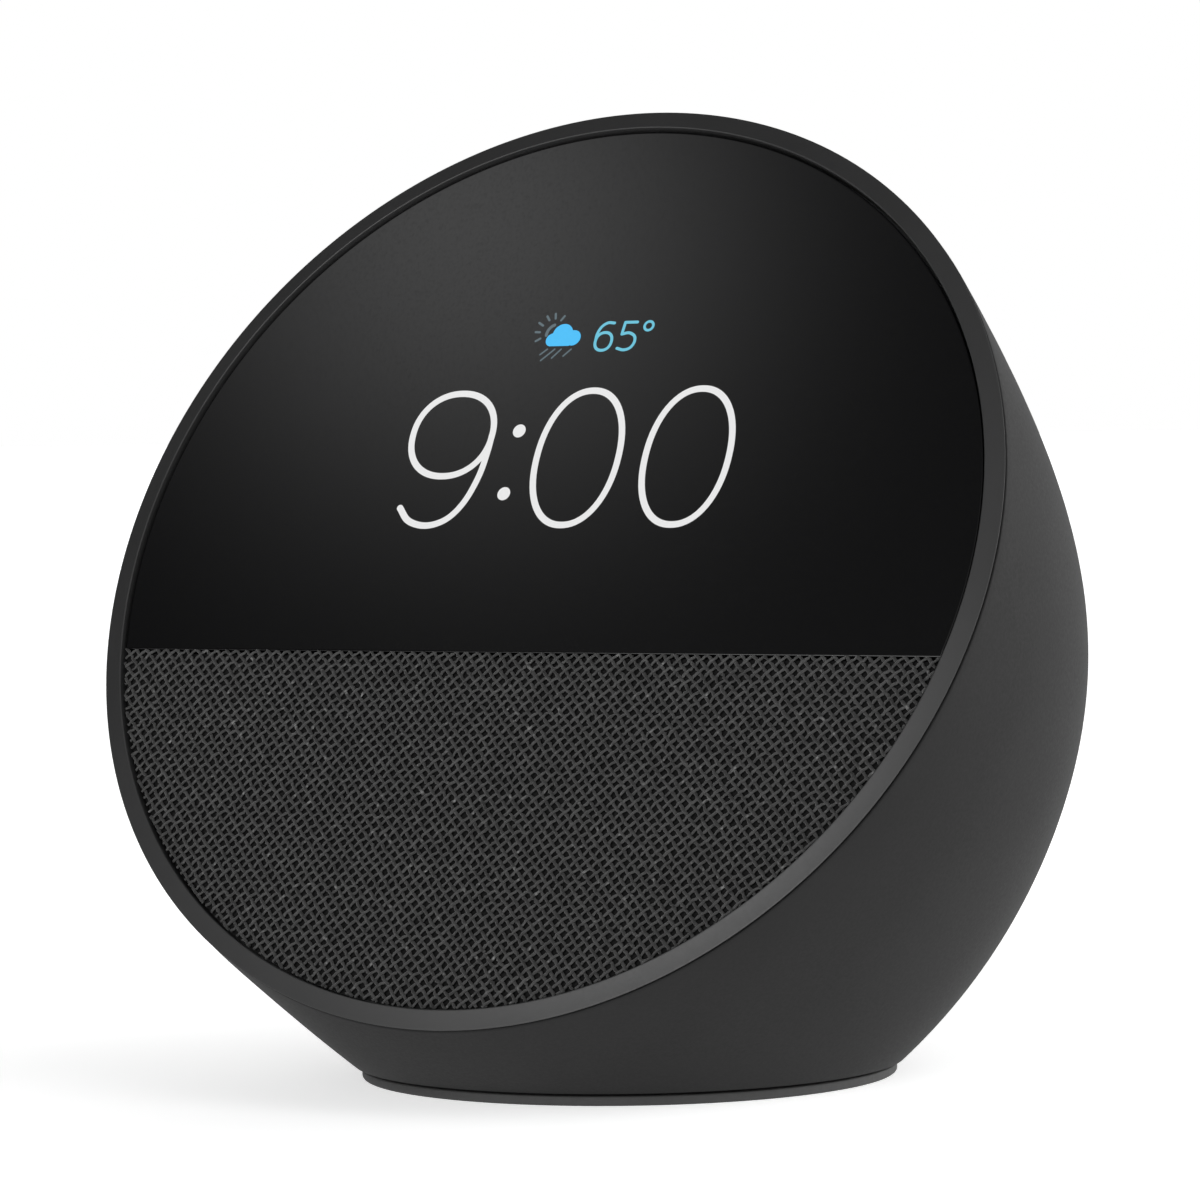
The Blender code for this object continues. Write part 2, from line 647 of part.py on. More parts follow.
def make_enclosure(speaker):
    """The closed box behind the speaker, cut level above the shell's floor."""
    radius, front, back = ENCLOSURE
    floor = FLANGE[1] + 0.5
    outside = floored(cylinder(radius, back, front, 32), floor)
    box = piece("speaker_enclosure", "black_plastic", outside, speaker)
    space = cylinder(radius - ENCLOSURE_WALL, back + ENCLOSURE_WALL, front + 1, 32)
    space = floored(space, floor + ENCLOSURE_WALL)
    combine(box, tool("enclosure_space", space, speaker), "DIFFERENCE")
    lead_hole = moved(turned(cylinder(1.3, -radius - 1, -radius + 3, 8), math.pi / 2, "X"), 0, 0, -20.0)
    combine(box, tool("lead_hole", lead_hole, speaker), "DIFFERENCE")
    route = [(SPEAKER_CENTRE + SPEAKER_HOLE - 0.1, -19.2), *SPEAKER_LEAD]
    tube("speaker_lead", "wire_sleeve", [face_point(0, y, z) for y, z in route], 0.8)


# ---- electronics ----
def make_main_board(face):
    board = block(*BOARD_SIZE, BOARD[1], BOARD[0], (0, BOARD_CENTRE), 2.0, 3)
    board = piece("main_board", "circuit_board", board, face)
    holes = [moved(cylinder(HOLE_RADIUS, BOARD[1] - 1, BOARD[0] + 1, 8), x, y) for x, y in BOARD_POSTS]
    combine(board, tool("board_holes", joined(holes), face), "DIFFERENCE")
    back = BOARD[1] - GAP
    width, depth = SHIELD_SIZE
    low = back - SHIELD_HEIGHT
    outside = block(width, depth, low, back, SHIELD_CENTRE, 1.0, 3)
    shield = piece("processor_shield", "steel", outside, face)
    thin = 2 * SHIELD_WALL
    inside = block(width - thin, depth - thin, low + SHIELD_WALL, back + 1, SHIELD_CENTRE, 0.8, 3)
    combine(shield, tool("shield_space", inside, face), "DIFFERENCE")
    base = low - GAP
    root = base - SINK_BASE
    tip = root - FIN_HEIGHT
    half = width / 2 + 1
    fins = [(-half, base), (-half, root)]
    for index in range(6):
        x = index * FIN_PITCH - half + 1.2
        fins += [(x, root), (x, tip), (x + 1.4, tip), (x + 1.4, root)]
    fins += [(half, root), (half, base)]
    sink = moved(turned(prism(fins, -depth / 2, depth / 2), math.pi / 2, "X"), *SHIELD_CENTRE)
    piece("heat_sink", "aluminium", sink, face)
    across, deep, rise = ANTENNA
    behind = CHASSIS[1] - GAP
    antenna = block(across, deep, behind - 0.5, behind, (0, rise), 0.6, 3)
    piece("wireless_antenna", "flex_circuit", antenna, face)


def make_inlet():
    width, depth, height = INLET_SIZE
    low = INLET_HEIGHT - height / 2
    body = block(width, depth, low, low + height, (0, INLET_MOUTH_Y - depth / 2), 0.8, 3)
    inlet = piece("power_inlet", "black_plastic", body)
    bore = cylinder(INLET_BORE, -INLET_MOUTH_Y - 1, -INLET_MOUTH_Y + depth - 2.2, 24)
    bore = turned(bore, math.pi / 2, "X")
    combine(inlet, tool("inlet_bore", moved(bore, 0, 0, INLET_HEIGHT)), "DIFFERENCE")
    foot = INLET_MOUTH_Y - depth + 2.5
    pin = lathe([(0, -foot), (1.0, -foot), (1.0, -foot - 3.8), (0.7, -foot - 4.4), (0, -foot - 4.4)], 16)
    piece("power_inlet_pin", "brass", turned(pin, math.pi / 2, "X"), location=(0, 0, INLET_HEIGHT))
    board = piece("inlet_board", "circuit_board", block(19.0, 16.5, *INLET_BOARD, (0, 25.7), 1.0, 3))
    low, high = INLET_BOARD
    holes = [moved(cylinder(HOLE_RADIUS, low - 1, high + 1, 8), *place) for place in INLET_POSTS]
    combine(board, tool("inlet_board_holes", joined(holes)), "DIFFERENCE")
    start = Vector((0, 20.0, INLET_BOARD[1] + 2 * GAP))
    above = face_point(14.0, -2.0, BOARD[1] - 7)
    end = face_point(14.0, -2.0, BOARD[1] - 2 * GAP)
    route = [start, start + Vector((0, 0, 5)), Vector((4, 14, 32)), Vector((11, 3, 46)), above, end]
    tube("power_lead", "wire_sleeve", route, 0.9)


def make_bottom():
    disc = cylinder(PLATE_RADIUS, SHELL_FOOT_HEIGHT, PLATE_TOP, 48)
    plate = piece("base_plate", "black_plastic", disc, location=(0, BASE_CENTRE_Y, 0))
    holes, sinks = [], []
    for x, y in base_screw_places():
        holes.append(moved(cylinder(HOLE_RADIUS, 0, PLATE_TOP + 1, 8), x, y))
        sinks.append(moved(cylinder(2.5, 0, 2.7, 12), x, y))
    combine(plate, tool("plate_holes", joined(holes)), "DIFFERENCE")
    combine(plate, tool("plate_sinks", joined(sinks)), "DIFFERENCE")
    edge = 0.25
    foot = [
        (0, 0), (FOOT_RADIUS - 2 * edge, 0), (FOOT_RADIUS, 2 * edge), (FOOT_RADIUS, FOOT_HEIGHT - edge),
        (FOOT_RADIUS - edge, FOOT_HEIGHT), (0, FOOT_HEIGHT),
    ]
    piece("base_foot", "foot_rubber", lathe(foot, 48), location=(0, BASE_CENTRE_Y, 0))


# ---- controls ----
def make_controls(button_frames, microphone_frames):
    names = ("volume_down_button", "microphone_button", "volume_up_button")
    width, bottom, top = SWITCH
    low = CAP_FLANGE - CAP_FLANGE_THICKNESS
    stem = CAP_FLANGE - CAP_STEM
    for name, holder in zip(names, button_frames):
        cap = [
            (0, CAP_PROUD), (BUTTON_RADIUS - 0.5, CAP_PROUD - 0.05), (BUTTON_RADIUS, -0.1),
            (BUTTON_RADIUS, CAP_FLANGE), (BUTTON_RADIUS + 1.0, CAP_FLANGE), (BUTTON_RADIUS + 1.0, low),
            (1.5, low), (1.5, stem), (0, stem),
        ]
        piece(name, "charcoal_plastic", lathe(cap, 20), holder)
        body = piece(name.replace("button", "switch"), "steel", block(width, width, bottom, top), holder)
        plunger = cylinder(1.0, bottom + 0.1, PLUNGER_TOP, 8)
        combine(body, tool(name + "_plunger", plunger, holder), "UNION")
    for side, holder in zip(("left", "right"), microphone_frames):
        boot = ring(MICROPHONE_HOLE + 0.1, 2.0, MICROPHONE[1] + GAP, CAP_FLANGE, 12)
        piece(f"microphone_boot_{side}", "foot_rubber", boot, holder)
        piece(f"microphone_{side}", "steel", block(3.5, 2.7, *MICROPHONE), holder)
    reach = (BUTTON_BACK - BRACKET_REACH, BUTTON_BACK + BRACKET_REACH)
    half = BRACKET_SPREAD
    angles = [half * (index / 5 - 1) for index in range(11)]
    outer, inner = FLEX_DEPTH
    flex = [(a, outer) for a in angles] + [(a, inner) for a in reversed(angles)]
    piece("button_flex", "flex_circuit", dome_patch(flex, reach))
    top = WALL + 0.5
    leg = math.radians(2.0)
    outside = half + leg
    inside = half + leg / 4
    outer, inner = BRACKET_DEPTH
    bracket = [(outside * (index / 5 - 1), inner) for index in range(11)]
    bracket += [(outside, top), (inside, top)]
    bracket += [(inside * (1 - index / 5), outer) for index in range(11)]
    bracket += [(-inside, top), (-outside, top)]
    piece("button_bracket", "black_plastic", dome_patch(bracket, reach))


# ---- fasteners ----
def chassis_screw_places():
    circle = CHASSIS_SCREW_CIRCLE
    return [(circle * math.sin(a), -circle * math.cos(a)) for a in CHASSIS_SCREW_ANGLES]


def base_screw_places():
    circle = BASE_SCREW_CIRCLE
    return [(circle * math.cos(a), BASE_CENTRE_Y + circle * math.sin(a)) for a in BASE_SCREW_ANGLES]


def screw(name, size, parent, place, upward=False):
    """A pan-head screw whose shank points along -Z from the head's seat, or +Z."""
    head_radius, head_height, length = size
    shape = [
        (0, head_height), (head_radius * 0.8, head_height), (head_radius, 0),
        (SCREW_RADIUS, 0), (SCREW_RADIUS, -length + 0.8), (0, -length),
    ]
    flip = Matrix.Rotation(math.pi if upward else 0.0, 3, "X")
    piece(name, "steel", lathe(shape, 8), parent, place, flip)


def make_screws(face):
    for index, (x, y) in enumerate(base_screw_places(), 1):
        screw(f"base_screw_{index}", BASE_SCREW, None, (x, y, PLATE_TOP - 1.5), upward=True)
    for index, (x, y) in enumerate(chassis_screw_places(), 1):
        screw(f"chassis_screw_{index}", CHASSIS_SCREW, face, (x, y, CHASSIS[0] + GAP))
    for index, (x, y) in enumerate(BOARD_POSTS, 1):
        screw(f"board_screw_{index}", BOARD_SCREW, face, (x, y, BOARD[1] - GAP), upward=True)
    for index, (x, y) in enumerate(INLET_POSTS, 1):
        screw(f"inlet_screw_{index}", INLET_SCREW, None, (x, y, INLET_BOARD[1] + GAP))


def main():
    clear_scene()
    face = frame("face_frame", FACE_CENTRE, FACE_TURN)
    speaker = frame("speaker_frame", (0, SPEAKER_CENTRE, 0), Matrix.Identity(3), face)
    buttons = [dome_frame(f"button_frame_{place}", place * BUTTON_SPREAD) for place in (1, 0, -1)]
    microphones = [dome_frame(f"microphone_frame_{place}", place * MICROPHONE_SPREAD) for place in (1, -1)]
    make_front(face)
    make_chassis(face, speaker)
    make_display(face)
    make_speaker(speaker)
    make_main_board(face)
    make_rear_shell(face, buttons, microphones)
    make_bottom()
    make_inlet()
    make_controls(buttons, microphones)
    make_screws(face)


main()
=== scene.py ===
"""The looks of a compact round smart display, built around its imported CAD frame.

Lengths are in millimetres until a mesh is made.
The face frame has X right, Y up in the tilted face and Z out of it.
"""

import json
import math

import bpy
import bmesh
import numpy as np
from mathutils import Matrix, Vector


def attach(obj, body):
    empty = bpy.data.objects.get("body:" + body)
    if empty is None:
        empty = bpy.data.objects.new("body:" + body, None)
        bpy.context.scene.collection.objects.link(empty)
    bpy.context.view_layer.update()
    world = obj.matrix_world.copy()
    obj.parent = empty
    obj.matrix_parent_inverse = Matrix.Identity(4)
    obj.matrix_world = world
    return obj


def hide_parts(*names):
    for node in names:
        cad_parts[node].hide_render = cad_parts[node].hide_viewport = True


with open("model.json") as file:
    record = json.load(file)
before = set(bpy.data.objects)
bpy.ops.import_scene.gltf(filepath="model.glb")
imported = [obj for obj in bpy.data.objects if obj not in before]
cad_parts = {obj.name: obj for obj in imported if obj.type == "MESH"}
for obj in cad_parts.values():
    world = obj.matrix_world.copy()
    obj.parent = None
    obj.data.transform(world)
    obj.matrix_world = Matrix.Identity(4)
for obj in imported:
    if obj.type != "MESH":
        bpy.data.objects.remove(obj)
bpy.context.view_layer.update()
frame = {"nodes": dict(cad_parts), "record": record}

MM = 0.001

# ---- the object's own dimensions, as in the CAD ----
RIM_RADIUS = 56.5
FACE_TILT = math.radians(27.0)
FACE_CENTRE = np.array((0, -25.9, 60.0))
BASE_RADIUS = 31.4
BASE_CENTRE_Y = -7.0
SHELL_FOOT_HEIGHT = 1.4
RIM_STEP = 0.8
RIM_FLARE = (-1.0, 9.9, -0.5)
FOOT_SLOPE = (36.8, 1.5, -8.3)
RIM_REACH = (43.3, -46.6, 2.9, 2.4)
FOOT_REACH = (22.9, -11.9, -0.1, -2.5)
WALL = 2.2
WALL_AT_RIM = 0.75
RIM_REBATE = (4.5, 7.0)
FLANGE_BORE, FLANGE_LOW, FLANGE_HIGH = 21.5, 4.2, 6.2
RECESS_RADIUS = 27.5
GLASS_RADIUS = 53.9
RIM_BORE = 54.25
SKIRT_RADIUS = 54.85
LEDGE_RADIUS = 52.2
GLASS_FRONT, GLASS_BACK = -0.3, -1.9
DIVIDE = -12.1
FOOT_RADIUS = 30.7
FOOT_HEIGHT = 1.1
BUTTON_RADIUS = 4.2
BUTTON_HOLE = 4.5
BUTTON_SPREAD = math.radians(14.5)
BUTTON_BACK = 0.062
MICROPHONE_SPREAD = math.radians(23.0)
MICROPHONE_HOLE = 0.6
INLET_HEIGHT = 20.0
INLET_MOUTH_Y = 36.4
INLET_SIZE = (11.0, 12.0, 10.0)
INLET_BORE = 3.3
INLET_WELL = 5.6

# ---- how finely the pieces are made ----
SHELL_SIDES = 192
SHELL_STATIONS = 76
RING_SIDES = 256
SHARP_ANGLE = 35.0

# ---- the rim's section ----
RIM_SLOPE = 12.0
RIM_PROUD = 0.22
RIM_NECK = 55.7
RIM_BACK = -3.2
RIM_LEDGE = -2.2
SKIRT_TOP = -0.7

# ---- the buttons' caps ----
CAP_PROUD = 0.28
CAP_ROUNDING = 0.28
CAP_DISH = 0.1
CAP_SIDES = 64
FLANGE_RADIUS = 5.2
STEM_RADIUS = 1.5
MARK_WIDTH = 0.26
MARK_REACH = 0.85
MARK_RAISED = 0.05
MARK_SUNK = -0.2

# ---- the weave ----
YARN_PITCH = 0.99
YARN_WIDTH = 0.37
YARN_DEPTH = 0.13
YARN_STEPS = 4
YARN_WAVE = 0.055
CLOTH_LEVEL = -0.34
CLOTH_LOFT = 0.36
YARNS_EACH_SIDE = 60
WEAVE_SEED = 7

SIN, COS = math.sin(FACE_TILT), math.cos(FACE_TILT)
FACE_X = np.array((1.0, 0, 0))
FACE_Y = np.array((0, SIN, COS))
FACE_OUT = np.array((0, -COS, SIN))
FACE_AXES = np.stack((FACE_X, FACE_Y, FACE_OUT), axis=1)
ALONG_Y = np.array(((1, 0, 0), (0, 0, 1), (0, -1, 0)), float)


def to_world(points, axes=FACE_AXES, centre=FACE_CENTRE):
    """Points given in a frame of three axes, as points in the row frame."""
    return np.asarray(points, float) @ axes.T + centre


# ---- meshes ----
def closed_object(name, verts, faces):
    """A closed mesh with its normals outwards, as an object in the scene."""
    mesh = bpy.data.meshes.new(name)
    mesh.from_pydata((np.asarray(verts) * MM).tolist(), [], faces)
    bm = bmesh.new()
    bm.from_mesh(mesh)
    bmesh.ops.recalc_face_normals(bm, faces=bm.faces)
    bm.to_mesh(mesh)
    bm.free()
    obj = bpy.data.objects.new(name, mesh)
    bpy.context.scene.collection.objects.link(obj)
    return obj


def add_piece(name, verts, faces, material, body="housing", replaces=(), crease=SHARP_ANGLE):
    """A closed mesh as one piece: it rides on a body, may replace CAD nodes and takes a material."""
    obj = closed_object(name, verts, faces)
    obj.data.shade_smooth()
    obj.data.set_sharp_from_angle(angle=math.radians(crease))
    obj.data.materials.append(material)
    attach(obj, body)
    if replaces:
        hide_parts(*replaces)
    return obj


def grid_faces(rows, columns, wrap_rows=False, wrap_columns=False, start=0):
    """Quads over a grid of points stored row by row."""
    faces = []
    for i in range(rows if wrap_rows else rows - 1):
        for j in range(columns if wrap_columns else columns - 1):
            here, ahead = i * columns, (i + 1) % rows * columns
            after = (j + 1) % columns
            faces.append((start + here + j, start + here + after, start + ahead + after, start + ahead + j))
    return faces


def lathe(profile, sides):
    """Points and faces of a closed (radius, height) outline turned about Z.

    An outline that starts on the axis closes there with a fan.
    """
    profile = np.asarray(profile, float)
    angles = np.arange(sides) * math.tau / sides
    on_axis = profile[0][0] == 0
    ring = profile[1:-1] if on_axis else profile
    turned = [np.stack((np.cos(a) * ring[:, 0], np.sin(a) * ring[:, 0], ring[:, 1]), axis=1) for a in angles]
    verts = np.concatenate(turned)
    faces = grid_faces(sides, len(ring), wrap_rows=True, wrap_columns=not on_axis)
    if on_axis:
        verts = np.concatenate((verts, [(0, 0, profile[0][1]), (0, 0, profile[-1][1])]))
        first, last = len(verts) - 2, len(verts) - 1
        for i in range(sides):
            here, ahead = i * len(ring), (i + 1) % sides * len(ring)
            faces.append((first, here, ahead))
            faces.append((last, ahead + len(ring) - 1, here + len(ring) - 1))
    return verts, faces


def arc(centre, radius, start, stop, steps=4):
    """Points of an arc in a profile, with its angles in degrees."""
    angles = np.radians(np.linspace(start, stop, steps + 1))
    return [(centre[0] + radius * math.cos(a), centre[1] + radius * math.sin(a)) for a in angles]


def layered(outline, levels):
    """A closed solid from copies of one star-shaped outline: each level is (inward offset, height)."""
    outline = np.asarray(outline, float)
    before, after = np.roll(outline, 1, axis=0), np.roll(outline, -1, axis=0)
    along = after - before
    inward = np.stack((-along[:, 1], along[:, 0]), axis=1)
    inward /= np.linalg.norm(inward, axis=1)[:, None]
    size = len(outline)
    verts = [np.column_stack((outline + inward * offset, np.full(size, height))) for offset, height in levels]
    faces = grid_faces(len(levels), size, wrap_columns=True)
    faces += [tuple(range(size)), tuple(range(len(levels) * size - 1, (len(levels) - 1) * size - 1, -1))]
    return np.concatenate(verts), faces


def joined(parts):
    """Several (points, faces) pairs as one."""
    verts, faces, count = [], [], 0
    for some, quads in parts:
        verts.append(np.asarray(some, float))
        faces += [tuple(index + count for index in face) for face in quads]
        count += len(some)
    return np.concatenate(verts), faces


# ---- materials ----
def principled(name, colour, roughness, metallic=0.0, **sockets):
    material = bpy.data.materials.new(name)
    material.use_nodes = True
    shader = material.node_tree.nodes["Principled BSDF"]
    shader.inputs["Base Color"].default_value = (*colour, 1)
    shader.inputs["Roughness"].default_value = roughness
    shader.inputs["Metallic"].default_value = metallic
    for socket, value in sockets.items():
        shader.inputs[socket.replace("_", " ")].default_value = value
    return material


def node(material, kind, **values):
    made = material.node_tree.nodes.new(kind)
    for key, value in values.items():
        if key in made.inputs:
            made.inputs[key].default_value = value
        else:
            setattr(made, key, value)
    return made


def link(material, source, target):
    material.node_tree.links.new(source, target)


def noise(material, scale, detail=3.0):
    """A noise texture over the piece's own coordinates, scale in cells a metre."""
    place = node(material, "ShaderNodeTexCoord")
    texture = node(material, "ShaderNodeTexNoise", Scale=scale, Detail=detail)
    link(material, place.outputs["Object"], texture.inputs["Vector"])
    return texture.outputs["Fac"]


def spread(material, factor, low, high, from_low=0.3, from_high=0.7):
    """Maps a texture's middle range to these values."""
    ramp = node(material, "ShaderNodeMapRange")
    for index, value in enumerate((from_low, from_high, low, high), 1):
        ramp.inputs[index].default_value = value
    link(material, factor, ramp.inputs[0])
    return ramp.outputs[0]


def shade(material, factor, dark, light):
    """Base colour between two colours by a factor."""
    mix = node(material, "ShaderNodeMix", data_type="RGBA")
    mix.inputs["A"].default_value = (*dark, 1)
    mix.inputs["B"].default_value = (*light, 1)
    link(material, factor, mix.inputs["Factor"])
    link(material, mix.outputs["Result"], material.node_tree.nodes["Principled BSDF"].inputs["Base Color"])
    return mix


def raise_grain(material, height, strength, distance):
    bump = node(material, "ShaderNodeBump", Strength=strength, Distance=distance)
    link(material, height, bump.inputs["Height"])
    link(material, bump.outputs["Normal"], material.node_tree.nodes["Principled BSDF"].inputs["Normal"])


def scaled(colour, share):
    return tuple(value * share for value in colour)


def moulded(name, colour, roughness, grain=2600, bump=0.25, depth=0.00004, variation=0.12, **sockets):
    """Moulded plastic or rubber: a very fine grain, a slow drift in colour and in roughness."""
    material = principled(name, colour, roughness, **sockets)
    shader = material.node_tree.nodes["Principled BSDF"]
    drift = spread(material, noise(material, 45, 2), 0, 1)
    shade(material, drift, scaled(colour, 1 - variation), scaled(colour, 1 + variation))
    fine = noise(material, grain, 2)
    link(material, spread(material, fine, roughness - 0.04, roughness + 0.04), shader.inputs["Roughness"])
    raise_grain(material, fine, bump, depth)
    return material


def metal(name, colour, roughness, streak=900):
    """Plated or drawn metal with fine streaks."""
    material = principled(name, colour, roughness, metallic=1.0)
    shader = material.node_tree.nodes["Principled BSDF"]
    fine = noise(material, streak, 5)
    shade(material, spread(material, fine, 0, 1), scaled(colour, 0.82), scaled(colour, 1.05))
    link(material, spread(material, fine, roughness - 0.08, roughness + 0.1), shader.inputs["Roughness"])
    raise_grain(material, fine, 0.15, 0.00003)
    return material


def circuit(name, mask, copper):
    """A board: solder mask with lighter tracks and small pads."""
    material = principled(name, mask, 0.42, Coat_Weight=0.3)
    place = node(material, "ShaderNodeTexCoord")
    tracks = node(material, "ShaderNodeTexBrick", Scale=220.0)
    tracks.inputs["Color1"].default_value = (*mask, 1)
    tracks.inputs["Color2"].default_value = (*scaled(mask, 1.35), 1)
    tracks.inputs["Mortar"].default_value = (*scaled(mask, 0.6), 1)
    link(material, place.outputs["Object"], tracks.inputs["Vector"])
    pads = node(material, "ShaderNodeTexVoronoi", Scale=420.0)
    link(material, place.outputs["Object"], pads.inputs["Vector"])
    mix = shade(material, spread(material, pads.outputs["Distance"], 1, 0, 0.12, 0.16), mask, copper)
    link(material, tracks.outputs["Color"], mix.inputs["A"])
    return material


def lit(name, colour, strength):
    """A lit part of the screen, under the same gloss as the glass."""
    material = principled(name, (0.01, 0.01, 0.011), 0.06, Emission_Strength=strength)
    shader = material.node_tree.nodes["Principled BSDF"]
    cells = spread(material, noise(material, 4000, 1), 0, 1)
    mix = node(material, "ShaderNodeMix", data_type="RGBA")
    mix.inputs["A"].default_value = (*scaled(colour, 0.97), 1)
    mix.inputs["B"].default_value = (*colour, 1)
    link(material, cells, mix.inputs["Factor"])
    link(material, mix.outputs["Result"], shader.inputs["Emission Color"])
    return material


def yarn_material(name, colour):
    """Fuzzy yarn: fibre streaks, uneven dye and a painted highlight, a few bright specks painted into the
    colour where a fibre would catch the light.
    """
    material = principled(name, colour, 0.8, Specular_IOR_Level=0.15, Sheen_Weight=0.1, Sheen_Roughness=0.5)
    fibres = noise(material, 5200, 4)
    patches = noise(material, 850, 3)
    painted_glint_flecks = noise(material, 1150, 1)
    blend = node(material, "ShaderNodeMath", operation="MULTIPLY")
    link(material, spread(material, fibres, 0.55, 1.0), blend.inputs[0])
    link(material, spread(material, patches, 0.35, 1.0), blend.inputs[1])
    mix = shade(material, blend.outputs[0], scaled(colour, 0.25), scaled(colour, 1.5))
    # painted highlight: random specks of the yarn's colour made 3.4 times brighter, a painted glint
    painted_glint = node(material, "ShaderNodeMix", data_type="RGBA")
    link(material, mix.outputs["Result"], painted_glint.inputs["A"])
    painted_glint.inputs["B"].default_value = (*scaled(colour, 3.4), 1)
    link(material, spread(material, painted_glint_flecks, 0, 1, 0.68, 0.80), painted_glint.inputs["Factor"])
    shader = material.node_tree.nodes["Principled BSDF"]
    link(material, painted_glint.outputs["Result"], shader.inputs["Base Color"])
    raise_grain(material, fibres, 0.5, 0.00006)
    return material


CHARCOAL = (0.0138, 0.0138, 0.0139)
shell_plastic = moulded("shell_plastic", CHARCOAL, 0.68, bump=0.18, Specular_IOR_Level=0.14)
rim_plastic = moulded("rim_plastic_finish", (0.021, 0.021, 0.0212), 0.42, bump=0.15, Specular_IOR_Level=0.4)
button_plastic = moulded("button_plastic", scaled(CHARCOAL, 1.15), 0.5, bump=0.18, Specular_IOR_Level=0.24)
mark_plastic = moulded("mark_plastic", (0.11, 0.11, 0.112), 0.55)
rubber = moulded("foot_rubber_finish", (0.03, 0.03, 0.03), 0.75, grain=1400, bump=0.4, depth=0.00008)
black_plastic = moulded(
    "black_plastic_finish", (0.012, 0.012, 0.0122), 0.5, grain=1600, bump=0.3, depth=0.00008
)
glass = moulded("black_glass_finish", (0.002, 0.002, 0.0022), 0.05, bump=0.0, variation=0.04, Coat_Weight=0.0)
white_light = lit("white_light", (0.80, 0.80, 0.80), 1.0)
blue_light = lit("blue_light", (0.045, 0.50, 0.92), 1.0)
cyan_light = lit("cyan_light", (0.13, 0.52, 0.68), 1.0)
pale_light = lit("pale_light", (0.085, 0.125, 0.145), 1.0)
# painted light and shade: the two yarn families are one yarn, the rising ones painted lighter and the falling
# ones darker for how the light falls along each direction
yarn_rising_painted_lit = yarn_material("yarn_rising_painted_lit", (0.052, 0.052, 0.0513))
yarn_falling_painted_shade = yarn_material("yarn_falling_painted_shade", (0.037, 0.037, 0.0365))
# the backing sheet behind the weave is near black: painted shade, a dark sheet that stands for the shade in
# the weave's holes
backing_cloth_painted_shade = yarn_material("backing_cloth_painted_shade", (0.0025, 0.0025, 0.0025))

INNER_LOOKS = {
    "black_plastic": black_plastic,
    "charcoal_plastic": shell_plastic,
    "rim_plastic": rim_plastic,
    "black_glass": glass,
    "foot_rubber": rubber,
    "dark_cloth": yarn_material("spider_cloth", (0.03, 0.03, 0.03)),
    "steel": metal("plated_steel", (0.5, 0.51, 0.53), 0.34),
    "aluminium": metal("extruded_aluminium", (0.7, 0.71, 0.73), 0.38),
    "brass": metal("turned_brass", (0.75, 0.57, 0.28), 0.28),
    "copper": metal("wound_copper", (0.75, 0.36, 0.2), 0.36),
    "ferrite": moulded("sintered_ferrite", (0.05, 0.05, 0.055), 0.6, grain=900, bump=0.6, depth=0.0001),
    "circuit_board": circuit("solder_mask", (0.01, 0.085, 0.045), (0.55, 0.38, 0.12)),
    "flex_circuit": circuit("flex_film", (0.3, 0.13, 0.03), (0.6, 0.33, 0.1)),
    "display_cell": moulded("polarised_film", (0.01, 0.01, 0.016), 0.12, bump=0.05),
    "light_guide": moulded("frosted_guide", (0.75, 0.75, 0.78), 0.35),
    "speaker_paper": moulded("pressed_pulp", (0.02, 0.02, 0.02), 0.9, grain=1500, bump=0.8, depth=0.0001),
    "foam": moulded("open_foam", (0.014, 0.014, 0.014), 0.95, grain=1900, bump=1.0, depth=0.0002),
    "wire_sleeve": moulded("soft_sleeve", (0.4, 0.015, 0.012), 0.45),
}
slot_of = {entry["node"]: entry["material_slot"] for entry in frame["record"]["subparts"]}
for name, cad_node in frame["nodes"].items():
    cad_node.data.materials.clear()
    cad_node.data.materials.append(INNER_LOOKS[slot_of[name]])


# ---- the dome's surface ----
def harmonics(values, angle):
    return sum(value * math.cos(order * angle) for order, value in enumerate(values))


def dome(angle, t):
    """Points of the meridian at this angle: 0 is the front, half a turn is the back."""
    t = np.clip(np.atleast_1d(t), 0, 1)[:, None]
    radial = np.array((math.sin(angle), 0, 0)) - math.cos(angle) * FACE_Y
    level = np.array((math.sin(angle), -math.cos(angle), 0))
    flare = math.radians(harmonics(RIM_FLARE, angle))
    slope = math.radians(harmonics(FOOT_SLOPE, angle))
    a = FACE_CENTRE + RIM_RADIUS * radial - RIM_STEP * FACE_OUT
    d = np.array((0, BASE_CENTRE_Y, SHELL_FOOT_HEIGHT)) + BASE_RADIUS * level
    leave = radial * math.sin(flare) - FACE_OUT * math.cos(flare)
    arrive = level * math.cos(slope) + np.array((0, 0, math.sin(slope)))
    b = a + leave * harmonics(RIM_REACH, angle)
    c = d + arrive * harmonics(FOOT_REACH, angle)
    s = 1 - t
    return s**3 * a + 3 * s * s * t * b + 3 * s * t * t * c + t**3 * d


def unit(vectors):
    return vectors / np.linalg.norm(vectors, axis=-1, keepdims=True)


def dome_normal(angle, t):
    step = 1e-4
    t = np.atleast_1d(t)
    along = dome(angle, t + step) - dome(angle, t - step)
    around = dome(angle + step, t) - dome(angle - step, t)
    return unit(np.cross(along, around))


def travelled(line):
    return np.concatenate(([0], np.cumsum(np.linalg.norm(np.diff(line, axis=0), axis=1))))


def at_lengths(line, stations):
    along = travelled(line)
    return np.stack([np.interp(stations, along, line[:, k]) for k in range(3)], axis=1)


def quarter(corner, first, second, radius, steps=4):
    """A rounded corner between two directions that leave it."""
    centre = corner + (first + second) * radius
    angles = np.linspace(0, math.pi / 2, steps + 1)[:, None]
    return centre - radius * (second * np.cos(angles) + first * np.sin(angles))


